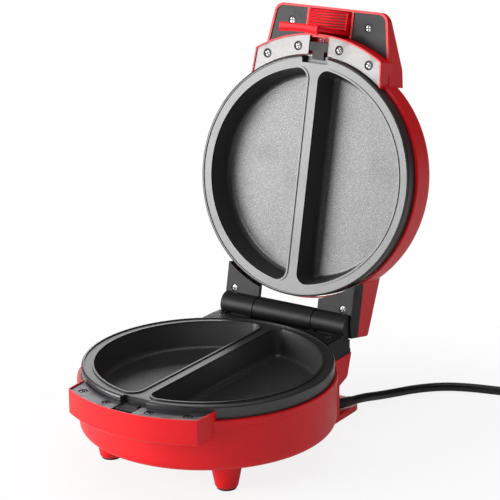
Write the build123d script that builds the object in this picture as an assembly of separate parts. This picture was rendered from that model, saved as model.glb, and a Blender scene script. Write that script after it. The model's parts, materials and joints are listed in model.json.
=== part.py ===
"""Hinged electric omelette maker: two half-moon pocket plates in a round base and lid.

Millimetres. +X right, -Y front (handle side), +Z up. The origin is on the table, under
the centre of the lower cooking plate. The lid stands open on its stop.
"""
from build123d import *
import os
from math import asin, atan2, cos, degrees, hypot, pi, radians, sin, sqrt, tan

# ---------------------------------------------------------------- driving sizes
PLATE_R = 90.0          # rim radius of a cooking plate
FOOT_H = 20.5           # underside of the base above the table
BODY_H = 37.5           # height of the base housing's wall
RIM_STAND = 9.5         # plate rim above the housing's rim
RIM_GAP = 2.0           # gap between the two plate rims with the lid shut
WALL = 2.5              # moulded housing wall
OPEN_ANGLE = 102.0      # lid on its open stop, measured from shut
HINGE_OUT = 14.5        # hinge axis behind the plate rim
HINGE_UP = 2.6          # hinge axis above the base plate's rim

RIM_Z = FOOT_H + BODY_H + RIM_STAND
HOUSING_RIM_Z = FOOT_H + BODY_H
MIRROR_Z = RIM_Z + RIM_GAP / 2
HINGE_Y = PLATE_R + HINGE_OUT
HINGE_Z = RIM_Z + HINGE_UP

# clearances
FIT = 0.3               # between parts that are dropped in
RUN = 0.05              # radial, pins and shafts
SEAT = 0.1              # under screw heads and clips

# housing skins
BAND_OUT = 2.6          # rim band beyond the plate rim
SKIN_OUT = 2.0          # wall beyond the plate rim
SKIN_SHIFT = 1.0        # skins sit this much forward of the plates
BAND_H = 5.0            # height of the rim band
BAND_EDGE = 0.5         # its chamfers
BASE_ROUND = 6.0        # wall to underside
BAND_R = PLATE_R + BAND_OUT
SKIN_R = PLATE_R + SKIN_OUT
BORE_CLEAR = 0.6        # plate skirt to the housing's counterbore
BORE_R = PLATE_R + BORE_CLEAR
LEDGE_DROP = 2.5        # ledge under the housing's rim
LEDGE_Z = HOUSING_RIM_Z - LEDGE_DROP
INNER_R = BORE_R - 1.8  # inside of the wall below the ledge

# ---------------------------------------------------------------- small helpers


def outline(points, rounds=None):
    """Closed flat face through the points; rounds gives a radius for a point's number."""
    radii = [(rounds or {}).get(number, 0.0) for number in range(len(points))]
    return make_face(FilletPolyline(*points, radius=radii, close=True))


def turned(points, rounds=None, centre_y=0.0):
    """Solid of revolution about the upright axis at centre_y; points are (radius, z)."""
    return Pos(0, centre_y, 0) * revolve(Plane.XZ * outline(points, rounds), Axis.Z)


def side_prism(points, x_low, x_high, rounds=None):
    """Prism along X from a side outline; points are (y, z)."""
    return Pos(x_low, 0, 0) * extrude(Plane.YZ * outline(points, rounds), x_high - x_low)


def plan_prism(points, z_low, z_high, rounds=None):
    """Upright prism from a plan outline; points are (x, y)."""
    return Pos(0, 0, z_low) * extrude(outline(points, rounds), z_high - z_low)


def block(x_low, x_high, y_low, y_high, z_low, z_high):
    """Box between two corners."""
    size = (x_high - x_low, y_high - y_low, z_high - z_low)
    centre = ((x_high + x_low) / 2, (y_high + y_low) / 2, (z_high + z_low) / 2)
    return Pos(*centre) * Box(*size)


def front_prism(points, y_low, y_high):
    """Prism along Y from a front outline; points are (x, z)."""
    return Pos(0, y_high, 0) * extrude(Plane.XZ * outline(points), y_high - y_low)


def drum(x, y, z_low, z_high, radius):
    """Upright cylinder."""
    return Pos(x, y, (z_low + z_high) / 2) * Cylinder(radius, z_high - z_low)


def roller(x_low, x_high, y, z, radius):
    """Cylinder along X."""
    return Pos((x_low + x_high) / 2, y, z) * Rot(0, 90, 0) * Cylinder(radius, x_high - x_low)


def both_sides(points):
    """The given places and their mirror images in X."""
    return [(side * x, y) for x, y in points for side in (-1, 1)]


def wire_tube(points, radius, bend):
    """Round tube along straight runs joined by arcs of one radius."""
    path = FilletPolyline(*points, radius=bend)
    return sweep(Plane(path @ 0, z_dir=path % 0) * Circle(radius), path)


def screw_up(x, y, z_seat, head_r, head_h, shank_r, shank_l):
    """Pan-head cross-slot screw, head upwards, seated at z_seat."""
    head = drum(x, y, z_seat, z_seat + head_h, head_r)
    head = fillet(head.edges().group_by(Axis.Z)[-1], head_h * 0.45)
    slot_l, slot_w = head_r * 1.1, head_r * 0.28
    top = z_seat + head_h
    cross = block(x - slot_l / 2, x + slot_l / 2, y - slot_w / 2, y + slot_w / 2, top - head_h * 0.6, top + 1)
    cross += Pos(x, y, 0) * Rot(0, 0, 90) * Pos(-x, -y, 0) * cross
    return head - cross + drum(x, y, z_seat - shank_l, z_seat, shank_r)


def upside_down(part, z_plane):
    """Mirror image in a level plane."""
    return mirror(part, about=Plane.XY.offset(z_plane))


def to_lid(part):
    """Move a part drawn in the base's frame to its place on the opened lid."""
    shut = upside_down(part, MIRROR_Z)
    return Pos(0, HINGE_Y, HINGE_Z) * Rot(-OPEN_ANGLE, 0, 0) * Pos(0, -HINGE_Y, -HINGE_Z) * shut


def group(parts):
    """Separate solids of one kind kept in one node."""
    return Compound(children=[solid for part in parts for solid in part.solids()])


# ---------------------------------------------------------------- cooking plate
PLATE_T = 2.5           # pressed aluminium
SKIRT_DEPTH = 11.2      # skirt below the rim, down to the reflector's flange
RIM_ROUND = 1.6         # outer edge of the rim
LIP_W = 2.0             # outer lip, level with the rim
RING_DROP = 0.8         # ring and divider below the rim
POCKET_R = PLATE_R - 9.0
POCKET_DEPTH = 20.0
POCKET_TAPER = 10.0     # degrees, wall draft
POCKET_CORNER = 8.0
POCKET_FLOOR_ROUND = 4.0
DIVIDER_HALF = 4.7
BEAD_W = 1.4            # bead round each pocket, level with the rim
NOTCH_HALF, NOTCH_REACH, NOTCH_DEPTH = 11.0, 5.7, 6.0
NOTCH_WALL = 1.5


def half_moon(grow=0.0):
    """Plan of one pocket, right of the divider, moved outwards by grow."""
    corner = POCKET_CORNER + grow
    radius = POCKET_R + grow
    edge = DIVIDER_HALF - grow
    disc = Circle(radius) & Pos(edge + radius, 0) * Rectangle(2 * radius, 2 * radius)
    tips = disc.vertices()
    return fillet(tips, corner)


def pocket_tool(grow, depth, floor_round):
    """Tapered half-moon from the rim plane down, with a rounded floor edge."""
    tool = extrude(half_moon(grow), -depth, taper=POCKET_TAPER)
    floor_edges = tool.faces().sort_by(Axis.Z)[0].edges()
    return fillet(floor_edges, floor_round)


def make_plate():
    """Cooking plate with its rim plane at z = 0."""
    lip_r, skirt_r = PLATE_R - LIP_W, PLATE_R - PLATE_T
    under = -RING_DROP - PLATE_T
    skin = turned([(0, -RING_DROP), (lip_r, -RING_DROP), (lip_r, 0), (PLATE_R, 0), (PLATE_R, -SKIRT_DEPTH),
                   (skirt_r, -SKIRT_DEPTH), (skirt_r, under), (0, under)], {3: RIM_ROUND})
    notch_y = -(PLATE_R - NOTCH_REACH)
    seat = block(-NOTCH_HALF - NOTCH_WALL, NOTCH_HALF + NOTCH_WALL, -PLATE_R, notch_y + NOTCH_WALL,
                 -NOTCH_DEPTH - PLATE_T, under + PLATE_T / 2)
    skin += seat & drum(0, 0, -SKIRT_DEPTH, 0, PLATE_R - PLATE_T / 2)
    outer = Pos(0, 0, -RING_DROP) * pocket_tool(PLATE_T, POCKET_DEPTH + PLATE_T - RING_DROP,
                                                POCKET_FLOOR_ROUND + PLATE_T)
    bead = Pos(0, 0, -RING_DROP) * extrude(half_moon(BEAD_W), RING_DROP)
    hollow = pocket_tool(0.0, POCKET_DEPTH, POCKET_FLOOR_ROUND) + extrude(half_moon(0.0), 1.0)
    for turn in (0, 180):
        skin += Rot(0, 0, turn) * (outer + bead)
    for turn in (0, 180):
        skin -= Rot(0, 0, turn) * hollow
    return skin - block(-NOTCH_HALF, NOTCH_HALF, -PLATE_R - 1, notch_y, -NOTCH_DEPTH, 1)


# ---------------------------------------------------------------- front lug
LUG_REACH = 16.2        # bowed front beyond the plate rim
LUG_BOW_R = PLATE_R + 15.5
LUG_HALF = 54.2         # half width at the front corners
LUG_SPLAY = 0.085       # sideways growth per mm towards the back
LUG_TOP_DROP = 3.3      # lug edge below the plate rim
LUG_H = 18.7
LUG_REBATE = 1.1        # wall left beside the cover plates
LUG_CORNER_ROUND = 1.5
LUG_FRONT_Y = -(PLATE_R + LUG_REACH)
LUG_CENTRE_Y = LUG_FRONT_Y + LUG_BOW_R
LUG_CORNER_Y = LUG_CENTRE_Y - sqrt(LUG_BOW_R ** 2 - LUG_HALF ** 2)
LUG_TOP_Z = RIM_Z - LUG_TOP_DROP
LUG_LOW_Z = LUG_TOP_Z - LUG_H
LUG_BACK_Y = -60.0

COVER_DROP = 0.8        # cover plates below the lug's edge
COVER_T = 1.6
COVER_SEAT_Z = LUG_TOP_Z - COVER_DROP - COVER_T
COVER_RIM_CLEAR = 1.0   # cover plates to the cooking plate
SLOT_HALF = 8.1
LUG_SCREWS = [(17.8, -PLATE_R - 5.8), (43.9, 2.4 - PLATE_R)]
SCREW_HEAD_R, SCREW_HEAD_H, SCREW_R, SCREW_L = 2.15, 0.9, 1.2, 8.5
WELL_R, WELL_DEPTH = 2.95, 0.9          # recess round a screw's head
BOSS_R = 3.3


def lug_shape(z_low, z_high, inset):
    """Front lug's plan as a prism: splayed sides and a bowed front, moved in by inset."""
    def half(y):
        return LUG_HALF + LUG_SPLAY * (y - LUG_CORNER_Y) - inset
    far_y = LUG_FRONT_Y - 5
    sides = plan_prism([(-half(LUG_BACK_Y), LUG_BACK_Y), (-half(far_y), far_y),
                        (half(far_y), far_y), (half(LUG_BACK_Y), LUG_BACK_Y)], z_low, z_high)
    return sides & drum(0, LUG_CENTRE_Y, z_low, z_high, LUG_BOW_R - inset)


def lug_outside():
    """Solid lug with rounded front corners and lower edge."""
    lug = lug_shape(LUG_LOW_Z, LUG_TOP_Z, 0.0)
    corners = [edge for edge in lug.edges().filter_by(Axis.Z) if edge.center().Y < LUG_CORNER_Y + 2]
    lug = fillet(corners, LUG_CORNER_ROUND)
    low = [edge for edge in lug.faces().sort_by(Axis.Z)[0].edges() if edge.center().Y < LUG_BACK_Y - 1]
    return chamfer(low, 1.2)


def lug_hollow():
    """What the lug holds clear: the space under its cover plates, outside the round wall."""
    space = lug_shape(LUG_LOW_Z + WALL, COVER_SEAT_Z, WALL) + lug_shape(COVER_SEAT_Z, LUG_TOP_Z + 1, LUG_REBATE)
    space -= drum(0, -SKIN_SHIFT, LUG_LOW_Z, HOUSING_RIM_Z, SKIN_R)
    space -= drum(0, 0, HOUSING_RIM_Z, LUG_TOP_Z + 2, INNER_R - 3)
    return space


def lug_bosses():
    """Screw bosses and the shelf that the release button slides on."""
    posts = [drum(x, y, LUG_LOW_Z + WALL / 2, COVER_SEAT_Z, BOSS_R) for x, y in both_sides(LUG_SCREWS)]
    shelf = block(-SLOT_HALF - 1, SLOT_HALF + 1, LUG_FRONT_Y + WALL / 2, -SKIN_R + 0.5, SHELF_Z - 1.5, SHELF_Z)
    return posts + [shelf]


def lug_screw_holes():
    return [drum(x, y, COVER_SEAT_Z - SCREW_L - 1, COVER_SEAT_Z + 1, SCREW_R + RUN)
            for x, y in both_sides(LUG_SCREWS)]


def make_cover_plates():
    """The two cover plates beside the release button's slot."""
    whole = lug_shape(COVER_SEAT_Z, COVER_SEAT_Z + COVER_T, LUG_REBATE + SEAT)
    whole -= drum(0, 0, COVER_SEAT_Z - 1, LUG_TOP_Z, PLATE_R + COVER_RIM_CLEAR)
    whole -= block(-SLOT_HALF - FIT, SLOT_HALF + FIT, LUG_FRONT_Y - 1, -PLATE_R + 20, COVER_SEAT_Z - 1, LUG_TOP_Z)
    top = COVER_SEAT_Z + COVER_T
    for x, y in both_sides(LUG_SCREWS):
        whole -= drum(x, y, COVER_SEAT_Z - 1, LUG_TOP_Z, SCREW_R + RUN) + drum(x, y, top - WELL_DEPTH, top + 1, WELL_R)
    return group([whole])


def make_lug_screws():
    seat = COVER_SEAT_Z + COVER_T - WELL_DEPTH
    return group([screw_up(x, y, seat, SCREW_HEAD_R, SCREW_HEAD_H, SCREW_R, SCREW_L)
                  for x, y in both_sides(LUG_SCREWS)])


# ---------------------------------------------------------------- release button
BUTTON_TRAVEL = 3.3
BUTTON_L = 6.6
BUTTON_DROP = 0.4       # button below the cover plates
BUTTON_H = 6.2
NOSE_HALF, NOSE_T, NOSE_BITE = 5.0, 1.2, 3.0
SPRING_R, SPRING_WIRE, SPRING_PITCH = 1.9, 0.5, 1.5
SPRING_DEPTH = 4.6      # blind bore in the button
BUTTON_HALF = SLOT_HALF - FIT
BUTTON_BACK_Y = -(SKIN_R + SKIN_SHIFT) - FIT
BUTTON_FRONT_Y = BUTTON_BACK_Y - BUTTON_L
BUTTON_TOP_Z = COVER_SEAT_Z + COVER_T - BUTTON_DROP
SHELF_Z = BUTTON_TOP_Z - BUTTON_H - FIT
NOSE_LOW_Z = RIM_Z - NOTCH_DEPTH + FIT
NOSE_TIP_Y = -PLATE_R + NOSE_BITE
SLOT_FRONT_Y = LUG_FRONT_Y + WALL
SPRING_BACK_Y = BUTTON_FRONT_Y + SPRING_DEPTH
BUTTON_RIBS = 5
SPRING_Z = (SHELF_Z + FIT + BUTTON_TOP_Z) / 2 - 0.4


def make_button():
    """Sliding catch: its nose holds the plate's notch, its ribbed top takes the thumb."""
    body = block(-BUTTON_HALF, BUTTON_HALF, BUTTON_FRONT_Y, BUTTON_BACK_Y, SHELF_Z + FIT, BUTTON_TOP_Z)
    pitch = BUTTON_L / (BUTTON_RIBS + 1)
    for number in range(1, BUTTON_RIBS + 1):
        groove_y = BUTTON_BACK_Y - number * pitch
        body -= block(-BUTTON_HALF - 1, BUTTON_HALF + 1, groove_y - pitch * 0.22, groove_y + pitch * 0.22,
                      BUTTON_TOP_Z - 0.5, BUTTON_TOP_Z + 1)
    nose = block(-NOSE_HALF, NOSE_HALF, BUTTON_BACK_Y - 1, NOSE_TIP_Y, NOSE_LOW_Z, NOSE_LOW_Z + NOSE_T)
    bore = Pos(0, BUTTON_FRONT_Y - 1, SPRING_Z) * Rot(-90, 0, 0) * Cylinder(
        SPRING_R + SPRING_WIRE / 2 + FIT, SPRING_DEPTH + 1, align=(Align.CENTER, Align.CENTER, Align.MIN))
    return body + nose - bore


def make_button_spring():
    """Small compression spring between the button's bore and the lug's front wall."""
    length = SPRING_BACK_Y - SLOT_FRONT_Y - SPRING_WIRE - 0.1
    start = SLOT_FRONT_Y + SPRING_WIRE / 2 + 0.05
    path = Helix(SPRING_PITCH, length, SPRING_R)
    coil = sweep(Plane(path @ 0, z_dir=path % 0) * Circle(SPRING_WIRE / 2), path)
    return Pos(0, start, SPRING_Z) * Rot(-90, 0, 0) * coil


# ---------------------------------------------------------------- base housing
FOOT_X, FOOT_Y = 49.6, 51.4
FOOT_TOP_R, FOOT_LOW_R, FOOT_GAP = 11.9, 7.9, 1.5
PAD_R, PAD_T = 6.8, 2.7
HEEL_HALF = 56.0
HEEL_FRONT_Y, HEEL_BACK_Y = 62.0, 88.2
HEEL_LOW_Z = 1.0
FLANGE_T = 4.5
FLANGE_REACH = 34.0     # flange behind the plate rim
FLANGE_CORNER = 13.0
HEEL_PAD_X, HEEL_PAD_Y, HEEL_PAD_R, HEEL_PAD_T = 42.0, 113.0, 6.0, 2.0
REAR_LUG_TOP_Z = RIM_Z - 17.2
REAR_LUG_OUT = 15.2     # rear lug behind the plate rim, at its top
REAR_LUG_LOW_OUT = 9.8
REAR_LUG_LOW_Z = REAR_LUG_TOP_Z - 16.5
REAR_LUG_ROOT_Z = REAR_LUG_TOP_Z - 21.0
FLANGE_BACK_Y = PLATE_R + FLANGE_REACH
REAR_LUG_Y = PLATE_R + REAR_LUG_OUT
REAR_LUG_LOW_Y = PLATE_R + REAR_LUG_LOW_OUT
SERVICE_T = 2.0         # heel cover
SERVICE_TOP_Z = HEEL_LOW_Z + SERVICE_T
SERVICE_SCREWS = [(HEEL_HALF - 5.6, HEEL_FRONT_Y + 6.1), (HEEL_HALF - 5.6, HEEL_BACK_Y - 6.8)]
SERVICE_SCREW_BITE = 7.0
CORD_D = 6.6
CORD_X = 44.0           # where its centre line leaves the heel's back wall
CORD_Z = FLANGE_T + HEEL_LOW_Z + CORD_D / 2 + 1.2
CORD_YAW = 25.0         # it leaves that far towards +X
GLAND_R = 4.3


def cord_place(distance, aside=0.0, z=CORD_Z):
    """Point on the cord's first straight, from the heel's back wall outwards."""
    heading = radians(CORD_YAW)
    return (CORD_X + distance * sin(heading) + aside * cos(heading),
            HEEL_BACK_Y + distance * cos(heading) - aside * sin(heading), z)


def along_cord(start, end, radius, end_radius=None):
    """Round bar, or a tapered one, on the cord's first straight."""
    bar = Cone(radius, radius if end_radius is None else end_radius, end - start) if end_radius else Cylinder(
        radius, end - start)
    return Pos(*cord_place((start + end) / 2)) * Rot(0, 0, -CORD_YAW) * Rot(-90, 0, 0) * bar


def rear_lug_outline(inset):
    """Side outline of the rear lug, moved in by inset."""
    return [(60.0, REAR_LUG_TOP_Z), (REAR_LUG_Y - inset, REAR_LUG_TOP_Z),
            (REAR_LUG_LOW_Y - inset, REAR_LUG_LOW_Z + inset), (REAR_LUG_LOW_Y - 1.6 - inset, REAR_LUG_LOW_Z - 1.4 + inset),
            (HEEL_BACK_Y + 0.6 - inset, REAR_LUG_ROOT_Z + inset), (60.0, REAR_LUG_ROOT_Z + inset)]


def make_base_housing():
    """Round red bowl with feet, front lug, rear lug and the cord-wrap heel."""
    band_low = HOUSING_RIM_Z - BAND_H
    body = turned([(0, FOOT_H), (SKIN_R, FOOT_H), (SKIN_R, band_low - BAND_EDGE), (BAND_R, band_low),
                   (BAND_R, HOUSING_RIM_Z - BAND_EDGE), (BAND_R - BAND_EDGE, HOUSING_RIM_Z), (0, HOUSING_RIM_Z)],
                  {1: BASE_ROUND}, -SKIN_SHIFT)
    body += lug_outside()
    for x, y in both_sides([(FOOT_X, FOOT_Y), (FOOT_X, -FOOT_Y)]):
        height = FOOT_H + WALL / 2 - FOOT_GAP
        foot = Cone(FOOT_LOW_R, FOOT_TOP_R, height, align=(Align.CENTER, Align.CENTER, Align.MIN))
        foot = fillet(foot.edges().group_by(Axis.Z)[0], 1.2)
        body += Pos(x, y, FOOT_GAP) * foot
    heel_top = REAR_LUG_ROOT_Z + 4
    body += block(-HEEL_HALF, HEEL_HALF, HEEL_FRONT_Y, HEEL_BACK_Y, HEEL_LOW_Z, heel_top)
    body += side_prism(rear_lug_outline(0.0), -HEEL_HALF, HEEL_HALF)
    body += plan_prism([(-HEEL_HALF, HEEL_FRONT_Y), (HEEL_HALF, HEEL_FRONT_Y), (HEEL_HALF, FLANGE_BACK_Y),
                        (-HEEL_HALF, FLANGE_BACK_Y)], HEEL_LOW_Z, HEEL_LOW_Z + FLANGE_T,
                       {2: FLANGE_CORNER, 3: FLANGE_CORNER})
    # hollows
    floor_z = FOOT_H + WALL
    bowl = turned([(0, floor_z), (INNER_R, floor_z), (INNER_R, LEDGE_Z), (BORE_R, LEDGE_Z),
                   (BORE_R, HOUSING_RIM_Z + 1), (0, HOUSING_RIM_Z + 1)], {1: BASE_ROUND - WALL / 2})
    body -= bowl + drum(0, 0, HOUSING_RIM_Z, LUG_TOP_Z + 1, PLATE_R + COVER_RIM_CLEAR)
    body -= lug_hollow()
    heel_space = block(-HEEL_HALF + WALL, HEEL_HALF - WALL, HEEL_FRONT_Y + WALL, HEEL_BACK_Y - WALL,
                       HEEL_LOW_Z - 1, floor_z + 1)
    for x, y in both_sides(SERVICE_SCREWS):
        heel_space -= drum(x, y, SERVICE_TOP_Z, floor_z + 2, BOSS_R + 0.3)
    body -= heel_space
    lug_space = side_prism(rear_lug_outline(WALL), -HEEL_HALF + WALL, HEEL_HALF - WALL)
    body -= lug_space - drum(0, -SKIN_SHIFT, 0, REAR_LUG_TOP_Z + 1, SKIN_R)
    # bosses and holes
    for boss in lug_bosses():
        body += boss
    for hole in lug_screw_holes():
        body -= hole
    for x, y in both_sides(SERVICE_SCREWS):
        body -= drum(x, y, HEEL_LOW_Z, SERVICE_TOP_Z + SERVICE_SCREW_BITE, SCREW_R + RUN)
    for x, y in pan_posts():
        body += drum(x, y, FOOT_H + WALL / 2, PAN_Z - PAN_T, POST_R)
        body -= drum(x, y, PAN_Z - PAN_SCREW_L - 0.5, PAN_Z, PAN_SCREW_R + RUN)
    for x, y in both_sides(REAR_COVER_SCREWS):
        body += drum(x, y, REAR_LUG_ROOT_Z + WALL, REAR_LUG_TOP_Z, BOSS_R)
        body -= drum(x, y, REAR_LUG_TOP_Z - REAR_SCREW_BITE, REAR_LUG_TOP_Z + 1, SCREW_R + RUN)
    for x, y in both_sides([(FOOT_X, FOOT_Y), (FOOT_X, -FOOT_Y)]):
        body -= drum(x, y, 0, PAD_T, PAD_R + SEAT)
    for side in (-1, 1):
        body -= drum(side * HEEL_PAD_X, HEEL_PAD_Y, 0, HEEL_PAD_T, HEEL_PAD_R + SEAT)
    body -= along_cord(-2 * WALL, 2 * WALL, GLAND_R + SEAT)
    return body - make_lead_way()


# ---------------------------------------------------------------- rear hinge cover
COVER_HALF = HEEL_HALF - 0.4
COVER_TOP_DROP = 0.6    # cover's flat top below the plate rim
KNUCKLE_R = 9.0
KNUCKLE_SPLIT = 25.4    # half length of the middle knuckle
KNUCKLE_GAP = 0.8
KNUCKLE_END = HEEL_HALF - 1.4
PIN_R, PIN_BORE_R = 3.5, 2.5
PIN_LOW_X, PIN_HIGH_X = 2.0 - KNUCKLE_END, KNUCKLE_END - 10.6   # the lid's lead turns off beyond its right end
STOP_LOW_X, STOP_HIGH_X = KNUCKLE_SPLIT + 5.6, HEEL_HALF - 9.0
TROUGH_CLEAR = 0.8      # cover's troughs round the outer knuckles
REAR_COVER_SCREWS = [(HEEL_HALF - 9.0, PLATE_R - 3.5)]
REAR_SCREW_BITE = 9.0
COVER_TOP_Z = RIM_Z - COVER_TOP_DROP
COVER_EDGE_Y = PLATE_R + 1.3            # top and bottom of the cover's sloping back
COVER_SLOPE_Y, COVER_SLOPE_Z = REAR_LUG_Y - 3.5, REAR_LUG_TOP_Z + 7.2
WEB_HALF = 2.8
LEAD_R, LEAD_CLEAR = 1.7, 0.4


def lead_route():
    """The lid lead's centre line in the base, up the back and into the hinge pin."""
    way_y, up_y = PLATE_R - 5.0, REAR_LUG_Y - 4.4
    return [(0, 72.0, BLOCK_TOP_Z), (0, 72.0, 26.0), (0, way_y, 32.0), (0, way_y, 42.0), (0, up_y, 43.0),
            (0, up_y, 57.0), (0, HINGE_Y, 63.0), (0, HINGE_Y, HINGE_Z), (KNUCKLE_SPLIT - 1.0, HINGE_Y, HINGE_Z)]


def make_lead_way():
    """Passage for the lead through the housing's wall, the hinge cover and the pin."""
    return wire_tube(lead_route()[3:], LEAD_R + LEAD_CLEAR, 4.0)


def make_troughs():
    """Troughs under the outer knuckles, clear of where the stops swing."""
    troughs = []
    for low, high in ((KNUCKLE_SPLIT + KNUCKLE_GAP, STOP_LOW_X - 0.5), (STOP_HIGH_X + 0.5, COVER_HALF - 0.8)):
        for side in (-1, 1):
            ends = sorted((side * low, side * high))
            troughs.append(block(*ends, COVER_EDGE_Y, HINGE_Y + 0.3, REAR_LUG_TOP_Z + 3.0, COVER_TOP_Z - 0.4)
                           - roller(ends[0] - 1, ends[1] + 1, HINGE_Y, HINGE_Z, KNUCKLE_R + TROUGH_CLEAR))
    return troughs


def make_rear_cover():
    """Black cover on the rear lug; it carries the hinge's middle knuckle."""
    top_y = COVER_EDGE_Y
    shape = side_prism([(66.0, REAR_LUG_TOP_Z), (REAR_LUG_Y, REAR_LUG_TOP_Z), (REAR_LUG_Y + 0.2, REAR_LUG_TOP_Z + 2.9),
                        (COVER_SLOPE_Y, COVER_SLOPE_Z), (top_y, COVER_TOP_Z - 0.4),
                        (top_y - 4, COVER_TOP_Z), (66.0, COVER_TOP_Z)], -COVER_HALF, COVER_HALF, {3: 2.0})
    upper_edges = [edge for edge in shape.edges() if abs(abs(edge.center().X) - COVER_HALF) < 0.01
                   and edge.center().Z > REAR_LUG_TOP_Z + 1]
    shape = chamfer(upper_edges, 0.8)
    hollow = side_prism([(68.0, REAR_LUG_TOP_Z - 1), (REAR_LUG_Y - WALL, REAR_LUG_TOP_Z - 1),
                         (REAR_LUG_Y - WALL, REAR_LUG_TOP_Z + 1.6), (REAR_LUG_Y - 6.2, REAR_LUG_TOP_Z + 5.2),
                         (top_y - 2, COVER_TOP_Z - 3.6), (68.0, COVER_TOP_Z - WALL)],
                        -COVER_HALF + WALL, COVER_HALF - WALL)
    hollow -= drum(0, -SKIN_SHIFT, 0, COVER_TOP_Z + 1, BAND_R + FIT + WALL)
    hollow -= block(-KNUCKLE_SPLIT, KNUCKLE_SPLIT, HINGE_Y - 7, HINGE_Y + 7, 0, COVER_TOP_Z)
    for x, y in both_sides(REAR_COVER_SCREWS):
        hollow -= drum(x, y, 0, COVER_TOP_Z, BOSS_R)
    shape -= hollow
    shape += block(-KNUCKLE_SPLIT, KNUCKLE_SPLIT, HINGE_Y - WEB_HALF - 1.5, HINGE_Y + WEB_HALF,
                   REAR_LUG_TOP_Z + 1.5, HINGE_Z - KNUCKLE_R / 2)
    shape += roller(-KNUCKLE_SPLIT, KNUCKLE_SPLIT, HINGE_Y, HINGE_Z, KNUCKLE_R)
    shape -= drum(0, -SKIN_SHIFT, 0, HOUSING_RIM_Z + FIT, BAND_R + FIT)
    shape -= drum(0, 0, 0, COVER_TOP_Z + 1, PLATE_R + COVER_RIM_CLEAR)
    shape -= roller(-KNUCKLE_END, KNUCKLE_END, HINGE_Y, HINGE_Z, PIN_R + RUN)
    for x, y in both_sides(REAR_COVER_SCREWS):
        shape -= drum(x, y, 0, COVER_TOP_Z + 1, SCREW_R + RUN)
        shape -= drum(x, y, COVER_TOP_Z - WELL_DEPTH, COVER_TOP_Z + 1, WELL_R)
    for trough in make_troughs():
        shape += trough
    return shape - make_lead_way()


def make_rear_cover_screws():
    seat = COVER_TOP_Z - WELL_DEPTH
    length = seat - REAR_LUG_TOP_Z + REAR_SCREW_BITE - 1
    return group([screw_up(x, y, seat, SCREW_HEAD_R, SCREW_HEAD_H, SCREW_R, length)
                  for x, y in both_sides(REAR_COVER_SCREWS)])


def make_hinge_pin():
    """Hollow steel hinge pin; the lid's lead runs through it."""
    return (roller(PIN_LOW_X, PIN_HIGH_X, HINGE_Y, HINGE_Z, PIN_R)
            - roller(PIN_LOW_X - 1, PIN_HIGH_X + 1, HINGE_Y, HINGE_Z, PIN_BORE_R) - make_lead_way())


# ---------------------------------------------------------------- heater and reflector
PAN_T = 0.8
PAN_DROP = 33.5         # pan floor below the plate rim
PAN_FLANGE_R = BORE_R - 0.2
PAN_TOP_R = PLATE_R - 5.2
PAN_LOW_R = PAN_TOP_R - 5.8
TUBE_R = 3.25
TUBE_Z = RIM_Z - POCKET_DEPTH - PLATE_T - FIT - TUBE_R
LEG_X, LEG_END_Y = 12.0, PLATE_R - 6.6
TAB_HALF, TAB_L, TAB_T = 3.15, 2.6, 0.8
STANDOFF_R = 54.0
PAN_Z = RIM_Z - PAN_DROP
PAN_LEG_CLEAR = 0.25
PAN_SCREW_R, PAN_SCREW_L = 1.2, 5.5
POST_PLACE_R, POST_R = 68.0, 3.6
POST_ANGLES = (-90, 20, 160)
SADDLE_ANGLES = (-90, 25, 155)
SADDLE_HALF, SADDLE_L = 4.0, 10.0


def pan_posts():
    """Plan places of the posts that carry the reflector."""
    return [(POST_PLACE_R * cos(radians(a)), POST_PLACE_R * sin(radians(a))) for a in POST_ANGLES]



def heater_tube(radius):
    """The heater's loop and legs as a round tube of the given radius."""
    right = [(LEG_X, LEG_END_Y), (LEG_X, 50.0), (42.0, 42.0), (58.0, 0.0), (42.0, -42.0)]
    left = [(-x, y) for x, y in reversed(right)]
    points = [(x, y, TUBE_Z) for x, y in right + [(0.0, -58.0)] + left]
    bends = [10.0, 24.0, 24.0, 24.0]
    return wire_tube(points, radius, bends + [24.0] + bends[::-1])


def make_heater():
    """Tubular heating element bent into one loop, with its two legs at the back."""
    tube = heater_tube(TUBE_R)
    for side in (-1, 1):
        tube += block(side * LEG_X - TAB_HALF, side * LEG_X + TAB_HALF, LEG_END_Y - 0.5, LEG_END_Y + TAB_L,
                      TUBE_Z - TAB_T / 2, TUBE_Z + TAB_T / 2)
    return tube


def make_reflector():
    """Thin steel pan with three saddles for the heater; its flange lies on the housing's ledge."""
    top = LEDGE_Z + PAN_T
    outside = turned([(0, PAN_Z - PAN_T), (PAN_LOW_R, PAN_Z - PAN_T), (PAN_TOP_R, LEDGE_Z), (PAN_FLANGE_R, LEDGE_Z),
                      (PAN_FLANGE_R, top), (0, top)])
    inside = turned([(0, PAN_Z), (PAN_LOW_R - PAN_T, PAN_Z), (PAN_TOP_R - PAN_T, top + 1), (0, top + 1)])
    pan = outside - inside
    for angle in SADDLE_ANGLES:
        pan += Rot(0, 0, angle) * block(STANDOFF_R - SADDLE_L / 2, STANDOFF_R + SADDLE_L / 2,
                                        -SADDLE_HALF, SADDLE_HALF, PAN_Z - PAN_T / 2, TUBE_Z)
    pan -= heater_tube(TUBE_R + RUN)
    for side in (-1, 1):
        pan -= Pos(side * LEG_X, LEG_END_Y - 5, TUBE_Z) * Rot(90, 0, 0) * Cylinder(TUBE_R + PAN_LEG_CLEAR, 20)
    for x, y in pan_posts():
        pan -= drum(x, y, PAN_Z - 2 * PAN_T, PAN_Z + 1, PAN_SCREW_R + RUN)
    return pan


def make_reflector_screws():
    return group([screw_up(x, y, PAN_Z, 2.6, 1.0, PAN_SCREW_R, PAN_SCREW_L) for x, y in pan_posts()])


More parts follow.
